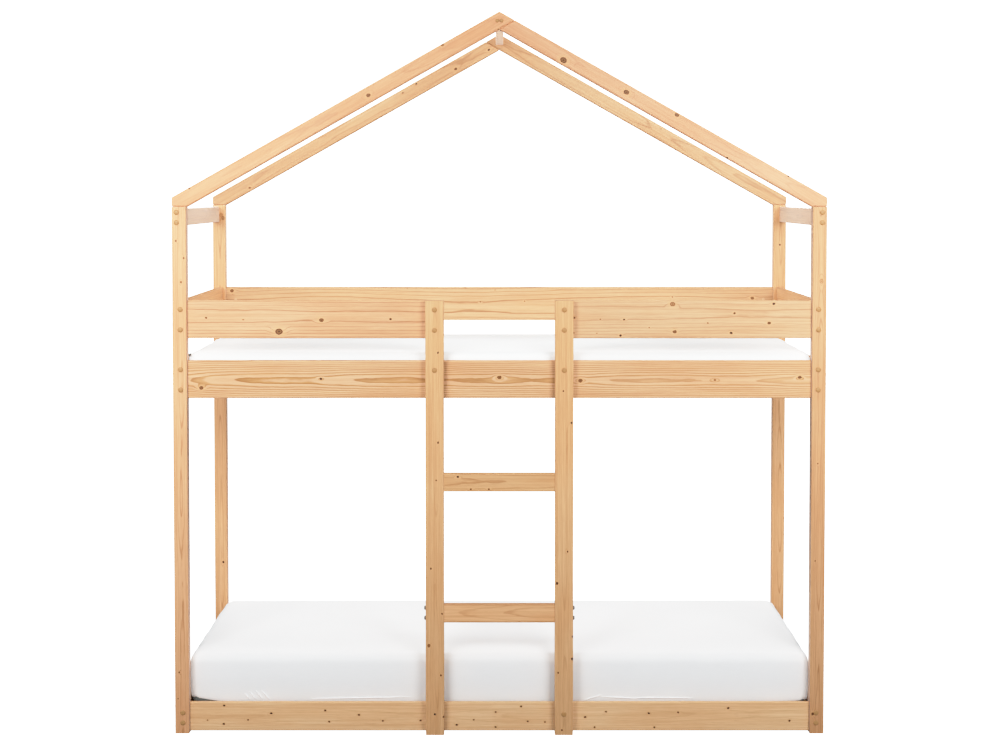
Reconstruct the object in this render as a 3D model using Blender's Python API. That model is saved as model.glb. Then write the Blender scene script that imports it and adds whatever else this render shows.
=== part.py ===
# House bunk bed in solid pine: four posts, two bunks, a ladder and an open gable roof.
# Metres. +X is to the right, +Y away from the front, +Z up, and the posts stand at Z 0.
# Boards are held by bolts that pass through the posts into barrel nuts.

import math

import bmesh
import bpy
from mathutils import Matrix, Vector

# Clearances
GAP = 0.0003  # between pieces that touch on the real bed
OVERRUN = 0.004  # how far a cutter goes past the face that it cuts
WELD = 0.00001

# Posts and the plan of the frame, over the posts' outer faces
FRAME_LENGTH = 2.060
FRAME_DEPTH = 0.980
POST_SIDE = 0.045
POST_ROUNDING = 0.003

# Boards: rails round each bunk and guards round the upper one
BOARD_THICKNESS = 0.018
BOARD_ROUNDING = 0.003
BOARD_LINE = 0.025  # from a post's outer face to the middle of a board's thickness
FLOOR_GAP = 0.005
LOWER_RAIL_HEIGHT = 0.092
BUNK_SPACE = 0.970  # from the lower rails' top edge to the upper rails' bottom edge
UPPER_RAIL_HEIGHT = 0.120
GUARD_GAP = 0.070
GUARD_HEIGHT = 0.120

# Roof
POST_ABOVE_GUARD = 0.295
ROOF_RISE = 0.611  # from the posts' top to the apex
RAFTER_DEPTH = 0.048  # square to the slope
HEEL_HEIGHT = 0.029  # the plumb cut over the posts' outer faces
EAVE_HEIGHT = 0.055
EAVE_THICKNESS = 0.018
EAVE_DROP = 0.006  # from the posts' top to the eave beam's top
EAVE_LINE = 0.015  # from a post's outer face to the middle of an eave beam
RIDGE_WIDTH = 0.026
RIDGE_HEIGHT = 0.029
RIDGE_DROP = 0.009  # from the apex to the ridge beam's top
RIDGE_ROUNDING = 0.002

# Bolts, their caps and barrel nuts, on a 32 mm pattern
BOLT_STEP = 0.032
BOLT_RADIUS = 0.003
BORE_RADIUS = 0.004
BOLT_HOLD = 0.006  # how far a bolt is sunk in the piece that carries it
CAP_RADIUS = 0.0075
CAP_HEIGHT = 0.0018
CAP_SEAT = 0.0005
CAP_CROWN_SHARE = 0.62  # the flat middle of a cap, as a share of its radius
NUT_RADIUS = 0.005
NUT_DEPTH = 0.014
NUT_FROM_END = 0.034
ROUND_SIDES = 8

# Ridge bolts
RIDGE_BOLT_SPREAD = 0.0066  # each side of the ridge beam's middle
RIDGE_BOLT_RISE = 0.009  # above the ridge beam's underside
RIDGE_CAP_RADIUS = 0.0055
RIDGE_BOLT_RADIUS = 0.002
RIDGE_BORE_RADIUS = 0.003

# Dowels
DOWEL_RADIUS = 0.004
DOWEL_CHAMFER = 0.001
DOWEL_CLEARANCE = 0.0004
POST_DOWEL_LENGTH = 0.026
POST_DOWEL_LINE = 0.014  # from a post's inner face to its dowel
RIDGE_DOWEL_LENGTH = 0.013
RUNG_DOWEL_LENGTH = 0.024
SOCKET_SPARE = 0.002

# Ladder
LADDER_CLEAR_WIDTH = 0.350
UPRIGHT_WIDTH = 0.058
UPRIGHT_THICKNESS = 0.036
UPRIGHT_ROUNDING = 0.003
RUNG_HEIGHT = 0.058
RUNG_THICKNESS = 0.028
RUNG_ROUNDING = 0.003
FIRST_RUNG_HEIGHT = 0.3875  # of the lower rung's middle
RUNG_STEP = 0.416
LADDER_BOLT_REACH = 0.011  # into the boards behind the uprights
OPEN_HOLE_RADIUS = 0.0035
OPEN_HOLE_DEPTH = 0.022
SCREW_HEAD_RADIUS = 0.006
SCREW_HEAD_HEIGHT = 0.0045

# Slats on ledgers
LEDGER_SIDE = 0.020
LEDGER_ROUNDING = 0.0015
SLAT_WIDTH = 0.090
SLAT_THICKNESS = 0.016
SLAT_ROUNDING = 0.002
SLAT_PLAY = 0.002  # between a slat's end and the rail
SLATS_PER_BUNK = 12

# Mattresses in fitted sheets
MATTRESS_PLAY_LENGTH = 0.0035  # at each end
MATTRESS_PLAY_WIDTH = 0.006  # at each side
MATTRESS_POST_CLEARANCE = 0.009
LOWER_MATTRESS_THICKNESS = 0.150
UPPER_MATTRESS_THICKNESS = 0.100
LOWER_MATTRESS_SINK = 0.010  # below the top edge of the rails
UPPER_MATTRESS_SINK = 0.084
TOP_EDGE_SHARE = 0.30  # a mattress's rounded top edge, as a share of its thickness
BOTTOM_EDGE_SHARE = 0.12
CROWN_SHARE = 0.05
CORNER_LIFT_SHARE = 0.16
CORNER_FADE = 0.080
LONG_SIDE_DRAW = 0.004
SHORT_SIDE_DRAW = 0.002
CORNER_STEPS = 4
LONG_SIDE_STEPS = 12
SHORT_SIDE_STEPS = 5
EDGE_STEPS = 3
CROWN_RING_SHARES = (0.90, 0.72, 0.48, 0.22)
UNDERSIDE_RING_SHARES = (0.90, 0.50)

EDGE_ROUNDING_STEPS = 2

UP = Vector((0, 0, 1))
RIGHT = Vector((1, 0, 0))
BACK = Vector((0, 1, 0))
BOTH_SIDES = (-1, 1)

# Heights that follow from the stack of boards
LOWER_RAIL_TOP = FLOOR_GAP + LOWER_RAIL_HEIGHT
UPPER_RAIL_BOTTOM = LOWER_RAIL_TOP + BUNK_SPACE
UPPER_RAIL_TOP = UPPER_RAIL_BOTTOM + UPPER_RAIL_HEIGHT
GUARD_BOTTOM = UPPER_RAIL_TOP + GUARD_GAP
GUARD_TOP = GUARD_BOTTOM + GUARD_HEIGHT
POST_HEIGHT = GUARD_TOP + POST_ABOVE_GUARD
APEX_HEIGHT = POST_HEIGHT + ROOF_RISE
LOWER_RAIL_MIDDLE = FLOOR_GAP + LOWER_RAIL_HEIGHT / 2
UPPER_RAIL_MIDDLE = UPPER_RAIL_BOTTOM + UPPER_RAIL_HEIGHT / 2
GUARD_MIDDLE = GUARD_BOTTOM + GUARD_HEIGHT / 2
EAVE_MIDDLE = POST_HEIGHT - EAVE_DROP - EAVE_HEIGHT / 2
RIDGE_MIDDLE = APEX_HEIGHT - RIDGE_DROP - RIDGE_HEIGHT / 2

# The ladder stands in front of the posts, so the middle of the whole depth isn't the frame's
BOARD_RECESS = BOARD_LINE - BOARD_THICKNESS / 2
LADDER_PROUD = UPRIGHT_THICKNESS + GAP - BOARD_RECESS + CAP_HEIGHT
BACK_PROUD = GAP + CAP_HEIGHT
FRONT_FACE = (LADDER_PROUD - FRAME_DEPTH - BACK_PROUD) / 2
BACK_FACE = FRONT_FACE + FRAME_DEPTH
FRAME_MIDDLE = (FRONT_FACE + BACK_FACE) / 2

# Distances from the middle of the frame
OUTER_X = FRAME_LENGTH / 2
OUTER_Y = FRAME_DEPTH / 2
POST_X = OUTER_X - POST_SIDE / 2
POST_Y = OUTER_Y - POST_SIDE / 2
INNER_X = OUTER_X - POST_SIDE
INNER_Y = OUTER_Y - POST_SIDE
BOARD_X = OUTER_X - BOARD_LINE
BOARD_Y = OUTER_Y - BOARD_LINE
BAY_X = BOARD_X - BOARD_THICKNESS / 2
BAY_Y = BOARD_Y - BOARD_THICKNESS / 2
UPRIGHT_X = (LADDER_CLEAR_WIDTH + UPRIGHT_WIDTH) / 2
UPRIGHT_BACK = FRONT_FACE + BOARD_RECESS - GAP
UPRIGHT_Y = UPRIGHT_BACK - UPRIGHT_THICKNESS / 2

# Bolt heights in a board, from its middle. Those of long and end boards pass each other in the post
WIDE_PAIR = (-BOLT_STEP, BOLT_STEP)
CLOSE_PAIR = (-BOLT_STEP / 2, BOLT_STEP / 2)
LONG_BOARD_BOLTS = {"lower_rail": WIDE_PAIR, "upper_rail": CLOSE_PAIR, "guard": CLOSE_PAIR}
END_BOARD_BOLTS = {"lower_rail": CLOSE_PAIR, "upper_rail": WIDE_PAIR, "guard": WIDE_PAIR}
TIER_MIDDLES = {
    "lower_rail": LOWER_RAIL_MIDDLE,
    "upper_rail": UPPER_RAIL_MIDDLE,
    "guard": GUARD_MIDDLE,
}
TIER_HEIGHTS = {
    "lower_rail": LOWER_RAIL_HEIGHT,
    "upper_rail": UPPER_RAIL_HEIGHT,
    "guard": GUARD_HEIGHT,
}
LADDER_BOLT_HEIGHTS = {
    "guard": (GUARD_MIDDLE + BOLT_STEP, GUARD_MIDDLE - BOLT_STEP),
    "upper_rail": (UPPER_RAIL_MIDDLE + BOLT_STEP,),
    "lower_rail": (LOWER_RAIL_MIDDLE + BOLT_STEP / 2,),
}

# Roof slope
EAVE_TOP = POST_HEIGHT + HEEL_HEIGHT
SLOPE = (APEX_HEIGHT - EAVE_TOP) / OUTER_X
SLOPE_ANGLE = math.atan(SLOPE)
RAFTER_DROP = RAFTER_DEPTH / math.cos(SLOPE_ANGLE)  # the rafter's depth measured plumb


def clear_scene():
    for obj in list(bpy.data.objects):
        bpy.data.objects.remove(obj, do_unlink=True)


def finish(name, colour, roughness, metallic=0.0):
    """A plain material in the piece's own colour."""
    material = bpy.data.materials.new(name)
    material.use_nodes = True
    shader = material.node_tree.nodes["Principled BSDF"]
    shader.inputs["Base Color"].default_value = (*colour, 1)
    shader.inputs["Roughness"].default_value = roughness
    shader.inputs["Metallic"].default_value = metallic
    return material


def group(name, parent=None):
    empty = bpy.data.objects.new(name, None)
    empty.parent = parent
    bpy.context.scene.collection.objects.link(empty)
    return empty


def place(name, bm, parent, material=None, location=(0, 0, 0), turn=0.0):
    """Turns a bmesh into an object, at its place and turned about Z."""
    bmesh.ops.recalc_face_normals(bm, faces=bm.faces)
    mesh = bpy.data.meshes.new(name)
    bm.to_mesh(mesh)
    bm.free()
    if material:
        mesh.materials.append(material)
    obj = bpy.data.objects.new(name, mesh)
    obj.parent = parent
    obj.location = location
    obj.rotation_euler.z = turn
    bpy.context.scene.collection.objects.link(obj)
    return obj


def rounded_bar(size, grain, rounding, steps=EDGE_ROUNDING_STEPS):
    """A bar about the origin whose four edges along the grain axis (0, 1 or 2) are rounded."""
    bm = bmesh.new()
    bmesh.ops.create_cube(bm, size=1)
    bmesh.ops.scale(bm, vec=size, verts=bm.verts)
    along = Vector([axis == grain for axis in range(3)])
    long_edges = [
        edge
        for edge in bm.edges
        if (edge.verts[0].co - edge.verts[1].co).normalized().cross(along).length < 0.5
    ]
    bmesh.ops.bevel(
        bm,
        geom=long_edges,
        offset=rounding,
        segments=steps,
        profile=0.5,
        affect="EDGES",
    )
    return bm


def turned(profile):
    """Spins a profile of (radius, height) points about Z."""
    bm = bmesh.new()
    points = [bm.verts.new((radius, 0, height)) for radius, height in profile]
    edges = [bm.edges.new(pair) for pair in zip(points, points[1:])]
    bmesh.ops.spin(
        bm,
        geom=points + edges,
        cent=(0, 0, 0),
        axis=UP,
        angle=2 * math.pi,
        steps=ROUND_SIDES,
        use_merge=True,
    )
    bmesh.ops.remove_doubles(bm, verts=bm.verts, dist=WELD)
    bmesh.ops.recalc_face_normals(bm, faces=bm.faces)
    mesh = bpy.data.meshes.new("turned")
    bm.to_mesh(mesh)
    bm.free()
    return mesh


def copies(mesh, places):
    """One bmesh with a copy of the turned mesh at each (point, direction)."""
    bm = bmesh.new()
    for point, direction in places:
        copy = mesh.copy()
        facing = direction.to_track_quat("Z", "Y").to_matrix().to_4x4()
        copy.transform(Matrix.Translation(point) @ facing)
        bm.from_mesh(copy)
        bpy.data.meshes.remove(copy)
    return bm


def rods(radius, spans):
    """One bmesh with a plain rod from point to point for each span."""
    bm = bmesh.new()
    for start, end in spans:
        run = end - start
        facing = run.to_track_quat("Z", "Y").to_matrix().to_4x4()
        bmesh.ops.create_cone(
            bm,
            cap_ends=True,
            segments=ROUND_SIDES,
            radius1=radius,
            radius2=radius,
            depth=run.length,
            matrix=Matrix.Translation((start + end) / 2) @ facing,
        )
    return bm


def combine(piece, name, bm, operation):
    """Joins or cuts a piece with a hidden helper, in the bed's own coordinates."""
    helper = place(f"{piece.name}_{name}", bm, piece.parent)
    helper.hide_render = True
    helper.display_type = "WIRE"
    modifier = piece.modifiers.new(name, "BOOLEAN")
    modifier.operation = operation
    modifier.solver = "EXACT"
    modifier.object = helper


def bolt_shape(tail, seat, radius, cap_radius, cap_height):
    """A bolt along Z: its shank from tail up to seat, and a low domed cap there."""
    return turned(
        (
            (0, tail),
            (radius, tail),
            (radius, seat),
            (cap_radius, seat),
            (cap_radius * CAP_CROWN_SHARE, seat + cap_height),
            (0, seat + cap_height),
        )
    )


def dowel_shape(length):
    """A dowel along Z that stands out by length, with a chamfered tip."""
    return turned(
        (
            (0, -BOLT_HOLD),
            (DOWEL_RADIUS, -BOLT_HOLD),
            (DOWEL_RADIUS, length - DOWEL_CHAMFER),
            (DOWEL_RADIUS - DOWEL_CHAMFER, length),
            (0, length),
        )
    )


def socket_span(point, direction, length):
    """The hole that takes a dowel."""
    return point - direction * OVERRUN, point + direction * (length + SOCKET_SPARE)


def beam(name, start, end, size, bolts, bolted_ends, material, parent, rounding, shape):
    """A board or beam between two end points, with a bolt and a nut hole for each (across, up).

    Boards run round the bed in one sense, so that local +Y is always the inner face.
    """
    thickness, height = size
    run = end - start
    along = run.normalized()
    inward = UP.cross(along)
    piece = place(
        name,
        rounded_bar((run.length, thickness, height), 0, rounding),
        parent,
        material,
        (start + end) / 2,
        math.atan2(run.y, run.x),
    )
    ends = [(start, -along), (end, along)]
    places = []
    nut_holes = []
    for index in bolted_ends:
        point, outward = ends[index]
        for across, rise in bolts:
            middle = point + inward * across + UP * rise
            places.append((middle, outward))
            nut = middle - outward * NUT_FROM_END
            nut_face = nut + inward * (thickness / 2 - across)
            nut_holes.append((nut_face + inward * OVERRUN, nut_face - inward * NUT_DEPTH))
    combine(piece, "bolts", copies(shape, places), "UNION")
    combine(piece, "nut_holes", rods(NUT_RADIUS, nut_holes), "DIFFERENCE")
    return piece


def board(name, start, end, tier, bolts, bolted_ends, material, parent):
    """A rail or a guard, bolted through the posts."""
    return beam(
        name,
        start,
        end,
        (BOARD_THICKNESS, TIER_HEIGHTS[tier]),
        [(0, rise) for rise in bolts],
        bolted_ends,
        material,
        parent,
        BOARD_ROUNDING,
        bolt_shape(-BOLT_HOLD, POST_SIDE + 2 * GAP, BOLT_RADIUS, CAP_RADIUS, CAP_HEIGHT),
    )


def make_posts(material, parent):
    """Four posts, bored for the boards' bolts and socketed for the rafters' dowels."""
    through = Vector((POST_SIDE / 2 + OVERRUN, 0, 0))
    through_back = Vector((0, POST_SIDE / 2 + OVERRUN, 0))
    for depth_word, side_y in (("front", -1), ("back", 1)):
        for side_word, side_x in (("left", -1), ("right", 1)):
            x = side_x * POST_X
            y = FRAME_MIDDLE + side_y * POST_Y
            piece = place(
                f"post_{depth_word}_{side_word}",
                rounded_bar((POST_SIDE, POST_SIDE, POST_HEIGHT), 2, POST_ROUNDING),
                parent,
                material,
                (x, y, POST_HEIGHT / 2),
            )
            spans = []
            for tier, middle in TIER_MIDDLES.items():
                for rise in LONG_BOARD_BOLTS[tier]:
                    point = Vector((x, FRAME_MIDDLE + side_y * BOARD_Y, middle + rise))
                    spans.append((point - through, point + through))
                for rise in END_BOARD_BOLTS[tier]:
                    point = Vector((side_x * BOARD_X, y, middle + rise))
                    spans.append((point - through_back, point + through_back))
            for rise in CLOSE_PAIR:
                point = Vector((side_x * (OUTER_X - EAVE_LINE), y, EAVE_MIDDLE + rise))
                spans.append((point - through_back, point + through_back))
            combine(piece, "bores", rods(BORE_RADIUS, spans), "DIFFERENCE")
            top = Vector((side_x * (INNER_X + POST_DOWEL_LINE), y, POST_HEIGHT))
            socket = socket_span(top, -UP, POST_DOWEL_LENGTH)
            combine(piece, "socket", rods(DOWEL_RADIUS + DOWEL_CLEARANCE, [socket]), "DIFFERENCE")


def make_tier(tier, material, parent):
    """The boards of one tier that run from post to post, going round the bed."""
    z = UP * TIER_MIDDLES[tier]
    end_x = INNER_X - GAP
    end_y = INNER_Y - GAP
    middle = BACK * FRAME_MIDDLE
    sides = {
        "left": (Vector((-BOARD_X, end_y, 0)), Vector((-BOARD_X, -end_y, 0)), END_BOARD_BOLTS),
        "right": (Vector((BOARD_X, -end_y, 0)), Vector((BOARD_X, end_y, 0)), END_BOARD_BOLTS),
        "back": (Vector((end_x, BOARD_Y, 0)), Vector((-end_x, BOARD_Y, 0)), LONG_BOARD_BOLTS),
        "front": (Vector((-end_x, -BOARD_Y, 0)), Vector((end_x, -BOARD_Y, 0)), LONG_BOARD_BOLTS),
    }
    pieces = {}
    for side, (start, end, bolts) in sides.items():
        if tier == "guard" and side == "front":
            continue
        pieces[side] = board(
            f"{tier}_{side}",
            start + middle + z,
            end + middle + z,
            tier,
            bolts[tier],
            (0, 1),
            material,
            parent,
        )
    return pieces


def make_front_guards(material, parent):
    """Two short guards that leave the way in open, each from a post to the ladder's inner edge."""
    y = FRAME_MIDDLE - BOARD_Y
    post_end = INNER_X - GAP
    ladder_end = LADDER_CLEAR_WIDTH / 2
    guards = {}
    for side_word, side, bolted_end in (("left", -1, 0), ("right", 1, 1)):
        points = sorted((side * post_end, side * ladder_end))
        start, end = (Vector((x, y, GUARD_MIDDLE)) for x in points)
        guards[side] = board(
            f"guard_front_{side_word}",
            start,
            end,
            "guard",
            LONG_BOARD_BOLTS["guard"],
            (bolted_end,),
            material,
            parent,
        )
    return guards


def ladder_bore_spans(tier, sides):
    """Blind holes in a front board for the ladder's bolts."""
    face = FRONT_FACE + BOARD_RECESS
    spans = []
    for side in sides:
        for height in LADDER_BOLT_HEIGHTS[tier]:
            mouth = Vector((side * UPRIGHT_X, face, height))
            spans.append((mouth - BACK * OVERRUN, mouth + BACK * (LADDER_BOLT_REACH + SOCKET_SPARE)))
    return spans


def make_ladder(wood, parent):
    """Two uprights bolted to the boards behind them, and two rungs between them."""
    front = UPRIGHT_BACK - UPRIGHT_THICKNESS
    bolt = bolt_shape(
        -UPRIGHT_THICKNESS - GAP - LADDER_BOLT_REACH,
        -CAP_SEAT,
        BOLT_RADIUS,
        CAP_RADIUS,
        CAP_HEIGHT + CAP_SEAT,
    )
    sunk_bolt = rods(
        BOLT_RADIUS,
        [
            (
                Vector((-UPRIGHT_X, UPRIGHT_BACK - BOLT_HOLD, LADDER_BOLT_HEIGHTS["lower_rail"][0])),
                Vector(
                    (
                        -UPRIGHT_X,
                        UPRIGHT_BACK + GAP + LADDER_BOLT_REACH,
                        LADDER_BOLT_HEIGHTS["lower_rail"][0],
                    )
                ),
            )
        ],
    )
    rung_y = UPRIGHT_Y
    lower_rung = Vector((0, rung_y, FIRST_RUNG_HEIGHT))
    upper_rung = lower_rung + UP * RUNG_STEP
    for side_word, side in (("left", -1), ("right", 1)):
        piece = place(
            f"ladder_upright_{side_word}",
            rounded_bar((UPRIGHT_WIDTH, UPRIGHT_THICKNESS, GUARD_TOP), 2, UPRIGHT_ROUNDING),
            parent,
            wood,
            (side * UPRIGHT_X, UPRIGHT_Y, GUARD_TOP / 2),
        )
        heights = [height for tier in LADDER_BOLT_HEIGHTS.values() for height in tier]
        open_height = LADDER_BOLT_HEIGHTS["lower_rail"][0]
        capped = [h for h in heights if side > 0 or h != open_height]
        places = [(Vector((side * UPRIGHT_X, front, height)), -BACK) for height in capped]
        combine(piece, "bolts", copies(bolt, places), "UNION")
        if side < 0:
            combine(piece, "sunk_bolt", sunk_bolt, "UNION")
            mouth = Vector((side * UPRIGHT_X, front, open_height))
            open_hole = [(mouth - BACK * OVERRUN, mouth + BACK * OPEN_HOLE_DEPTH)]
            combine(piece, "open_hole", rods(OPEN_HOLE_RADIUS, open_hole), "DIFFERENCE")
        inner_face = side * RIGHT * LADDER_CLEAR_WIDTH / 2
        sockets = []
        bores = []
        for rise in CLOSE_PAIR:
            seat = upper_rung + inner_face + UP * rise
            sockets.append(socket_span(seat, side * RIGHT, RUNG_DOWEL_LENGTH))
            seat = lower_rung + inner_face + UP * rise
            far = side * RIGHT * (UPRIGHT_WIDTH + OVERRUN)
            bores.append((seat - side * RIGHT * OVERRUN, seat + far))
        combine(piece, "sockets", rods(DOWEL_RADIUS + DOWEL_CLEARANCE, sockets), "DIFFERENCE")
        combine(piece, "bores", rods(BORE_RADIUS, bores), "DIFFERENCE")
    screw = bolt_shape(
        -BOLT_HOLD,
        UPRIGHT_WIDTH + 2 * GAP,
        BOLT_RADIUS,
        SCREW_HEAD_RADIUS,
        SCREW_HEAD_HEIGHT,
    )
    dowel = dowel_shape(RUNG_DOWEL_LENGTH - GAP)
    half = RIGHT * (LADDER_CLEAR_WIDTH / 2 - GAP)
    for name, middle, shape in (
        ("ladder_rung_lower", lower_rung, screw),
        ("ladder_rung_upper", upper_rung, dowel),
    ):
        piece = place(
            name,
            rounded_bar((2 * half.x, RUNG_THICKNESS, RUNG_HEIGHT), 0, RUNG_ROUNDING),
            parent,
            wood,
            middle,
        )
        places = [
            (middle + side * half + UP * rise, side * RIGHT)
            for side in BOTH_SIDES
            for rise in CLOSE_PAIR
        ]
        combine(piece, "fixings", copies(shape, places), "UNION")


def rafter_outline(side, runs_through):
    """The side view of one rafter, as (x, z): seat, heel, slope, ridge joint, underside."""
    seat = POST_HEIGHT + GAP
    joint_reach = RAFTER_DROP / (2 * SLOPE)  # where one rafter's underside meets the other slope
    joint_top = APEX_HEIGHT - RAFTER_DROP / 2
    seat_end = (APEX_HEIGHT - RAFTER_DROP - seat) / SLOPE
    outline = [(side * seat_end, seat), (side * OUTER_X, seat), (side * OUTER_X, EAVE_TOP)]
    if runs_through:
        outline += [(0, APEX_HEIGHT), (-side * joint_reach, joint_top)]
    else:
        clear = GAP / math.cos(SLOPE_ANGLE)
        reach = joint_reach + clear / (2 * SLOPE)
        outline += [
            (side * reach, joint_top - clear / 2),
            (side * clear / (2 * SLOPE), APEX_HEIGHT - RAFTER_DROP - clear / 2),
        ]
    return outline


def make_roof(wood, beam_wood, parent):
    """Two gables of two rafters, tied by a ridge beam and two eave beams."""
    post_dowel = dowel_shape(POST_DOWEL_LENGTH - GAP)
    ridge_dowel = dowel_shape(RIDGE_DOWEL_LENGTH - GAP)
    ridge_bolt_height = RIDGE_MIDDLE - RIDGE_HEIGHT / 2 + RIDGE_BOLT_RISE
    joint_middle = APEX_HEIGHT - RAFTER_DROP * 3 / 4
    joint_x = RAFTER_DROP / (4 * SLOPE)
    for depth_word, side_y, through_side in (("front", -1, -1), ("back", 1, 1)):
        y = FRAME_MIDDLE + side_y * POST_Y
        near = y - POST_SIDE / 2
        # The through rafter covers the ridge joint, and the other one's dowel points into it
        joint = Vector((-through_side * joint_x, y, joint_middle))
        into_through = Vector((through_side * math.sin(SLOPE_ANGLE), 0, math.cos(SLOPE_ANGLE)))
        for side_word, side in (("left", -1), ("right", 1)):
            runs_through = side == through_side
            bm = bmesh.new()
            corners = [bm.verts.new((x, near, z)) for x, z in rafter_outline(side, runs_through)]
            face = bm.faces.new(corners)
            grown = bmesh.ops.extrude_face_region(bm, geom=[face])
            moved = [item for item in grown["geom"] if isinstance(item, bmesh.types.BMVert)]
            bmesh.ops.translate(bm, vec=BACK * POST_SIDE, verts=moved)
            piece = place(f"rafter_{depth_word}_{side_word}", bm, parent, wood)
            rounding = piece.modifiers.new("rounding", "BEVEL")
            rounding.width = POST_ROUNDING
            rounding.segments = 1
            rounding.limit_method = "ANGLE"
            rounding.angle_limit = math.radians(80)
            foot = Vector((side * (INNER_X + POST_DOWEL_LINE), y, POST_HEIGHT + GAP))
            combine(piece, "dowel", copies(post_dowel, [(foot, -UP)]), "UNION")
            if runs_through:
                socket = socket_span(joint, into_through, RIDGE_DOWEL_LENGTH)
                combine(piece, "socket", rods(DOWEL_RADIUS + DOWEL_CLEARANCE, [socket]), "DIFFERENCE")
                through = BACK * (POST_SIDE / 2 + OVERRUN)
                spans = []
                for bolt_side in BOTH_SIDES:
                    point = Vector((bolt_side * RIDGE_BOLT_SPREAD, y, ridge_bolt_height))
                    spans.append((point - through, point + through))
                combine(piece, "bores", rods(RIDGE_BORE_RADIUS, spans), "DIFFERENCE")
            else:
                foot = joint - into_through * GAP
                combine(piece, "ridge_dowel", copies(ridge_dowel, [(foot, into_through)]), "UNION")
    reach = BACK * (INNER_Y - GAP)
    ridge = Vector((0, FRAME_MIDDLE, RIDGE_MIDDLE))
    bolt_rise = RIDGE_BOLT_RISE - RIDGE_HEIGHT / 2
    ridge_bolt = bolt_shape(
        -BOLT_HOLD,
        POST_SIDE + 2 * GAP,
        RIDGE_BOLT_RADIUS,
        RIDGE_CAP_RADIUS,
        CAP_HEIGHT,
    )
    ridge_piece = place(
        "ridge_beam",
        rounded_bar((2 * reach.y, RIDGE_WIDTH, RIDGE_HEIGHT), 0, RIDGE_ROUNDING),
        parent,
        beam_wood,
        ridge,
        math.pi / 2,
    )
    places = [
        (ridge + end * reach + RIGHT * side * RIDGE_BOLT_SPREAD + UP * bolt_rise, end * BACK)
        for end in BOTH_SIDES
        for side in BOTH_SIDES
    ]
    combine(ridge_piece, "bolts", copies(ridge_bolt, places), "UNION")
    eave_bolt = bolt_shape(-BOLT_HOLD, POST_SIDE + 2 * GAP, BOLT_RADIUS, CAP_RADIUS, CAP_HEIGHT)
    for side_word, side in (("left", -1), ("right", 1)):
        middle = Vector((side * (OUTER_X - EAVE_LINE), FRAME_MIDDLE, EAVE_MIDDLE))
        beam(
            f"eave_beam_{side_word}",
            middle - side * reach,
            middle + side * reach,
            (EAVE_THICKNESS, EAVE_HEIGHT),
            [(0, rise) for rise in CLOSE_PAIR],
            (0, 1),
            beam_wood,
            parent,
            BOARD_ROUNDING,
            eave_bolt,
        )


def make_slat_bed(bunk, mattress_bottom, ledger_wood, slat_wood, parent):
    """Two ledgers along the rails, and slats across them at an even pitch."""
    slat_middle = mattress_bottom - SLAT_THICKNESS / 2
    ledger_middle = mattress_bottom - SLAT_THICKNESS - GAP - LEDGER_SIDE / 2
    ledger_length = 2 * (INNER_X - GAP)
    for side_word, side in (("front", -1), ("back", 1)):
        place(
            f"{bunk}_ledger_{side_word}",
            rounded_bar((ledger_length, LEDGER_SIDE, LEDGER_SIDE), 0, LEDGER_ROUNDING, 1),
            parent,
            ledger_wood,
            (0, FRAME_MIDDLE + side * (BAY_Y - GAP - LEDGER_SIDE / 2), ledger_middle),
        )
    slat_length = 2 * (BAY_Y - SLAT_PLAY)
    space = (2 * INNER_X - SLATS_PER_BUNK * SLAT_WIDTH) / (SLATS_PER_BUNK + 1)
    for index in range(SLATS_PER_BUNK):
        x = -INNER_X + space + SLAT_WIDTH / 2 + index * (SLAT_WIDTH + space)
        place(
            f"{bunk}_slat_{index + 1:02d}",
            rounded_bar((SLAT_WIDTH, slat_length, SLAT_THICKNESS), 1, SLAT_ROUNDING, 1),
            parent,
            slat_wood,
            (x, FRAME_MIDDLE, slat_middle),
        )


def plan_outline(half_length, half_width, corner):
    """Points round a rounded rectangle, each with its outward direction."""
    centres = [
        (half_length - corner, half_width - corner),
        (corner - half_length, half_width - corner),
        (corner - half_length, corner - half_width),
        (half_length - corner, corner - half_width),
    ]
    arcs = []
    for index, (x, y) in enumerate(centres):
        arc = []
        for step in range(CORNER_STEPS + 1):
            angle = (index + step / CORNER_STEPS) * math.pi / 2
            out = Vector((math.cos(angle), math.sin(angle), 0))
            arc.append((Vector((x, y, 0)) + out * corner, out))
        arcs.append(arc)
    outline = []
    for index, arc in enumerate(arcs):
        outline += arc
        start, out = arc[-1]
        end = arcs[(index + 1) % len(arcs)][0][0]
        steps = SHORT_SIDE_STEPS if index % 2 else LONG_SIDE_STEPS
        outline += [(start.lerp(end, step / steps), out) for step in range(1, steps)]
    return outline


def mattress_sections(thickness):
    """How far each ring is drawn in, and its height, from the underside's edge up to the crown's."""
    bottom = BOTTOM_EDGE_SHARE * thickness
    top = TOP_EDGE_SHARE * thickness
    sections = []
    for step in range(EDGE_STEPS + 1):
        angle = step / EDGE_STEPS * math.pi / 2
        sections.append((bottom * (1 - math.sin(angle)), bottom * (1 - math.cos(angle))))
    for step in range(EDGE_STEPS + 1):
        angle = step / EDGE_STEPS * math.pi / 2
        sections.append((top * (1 - math.cos(angle)), thickness - top * (1 - math.sin(angle))))
    return sections


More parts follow.
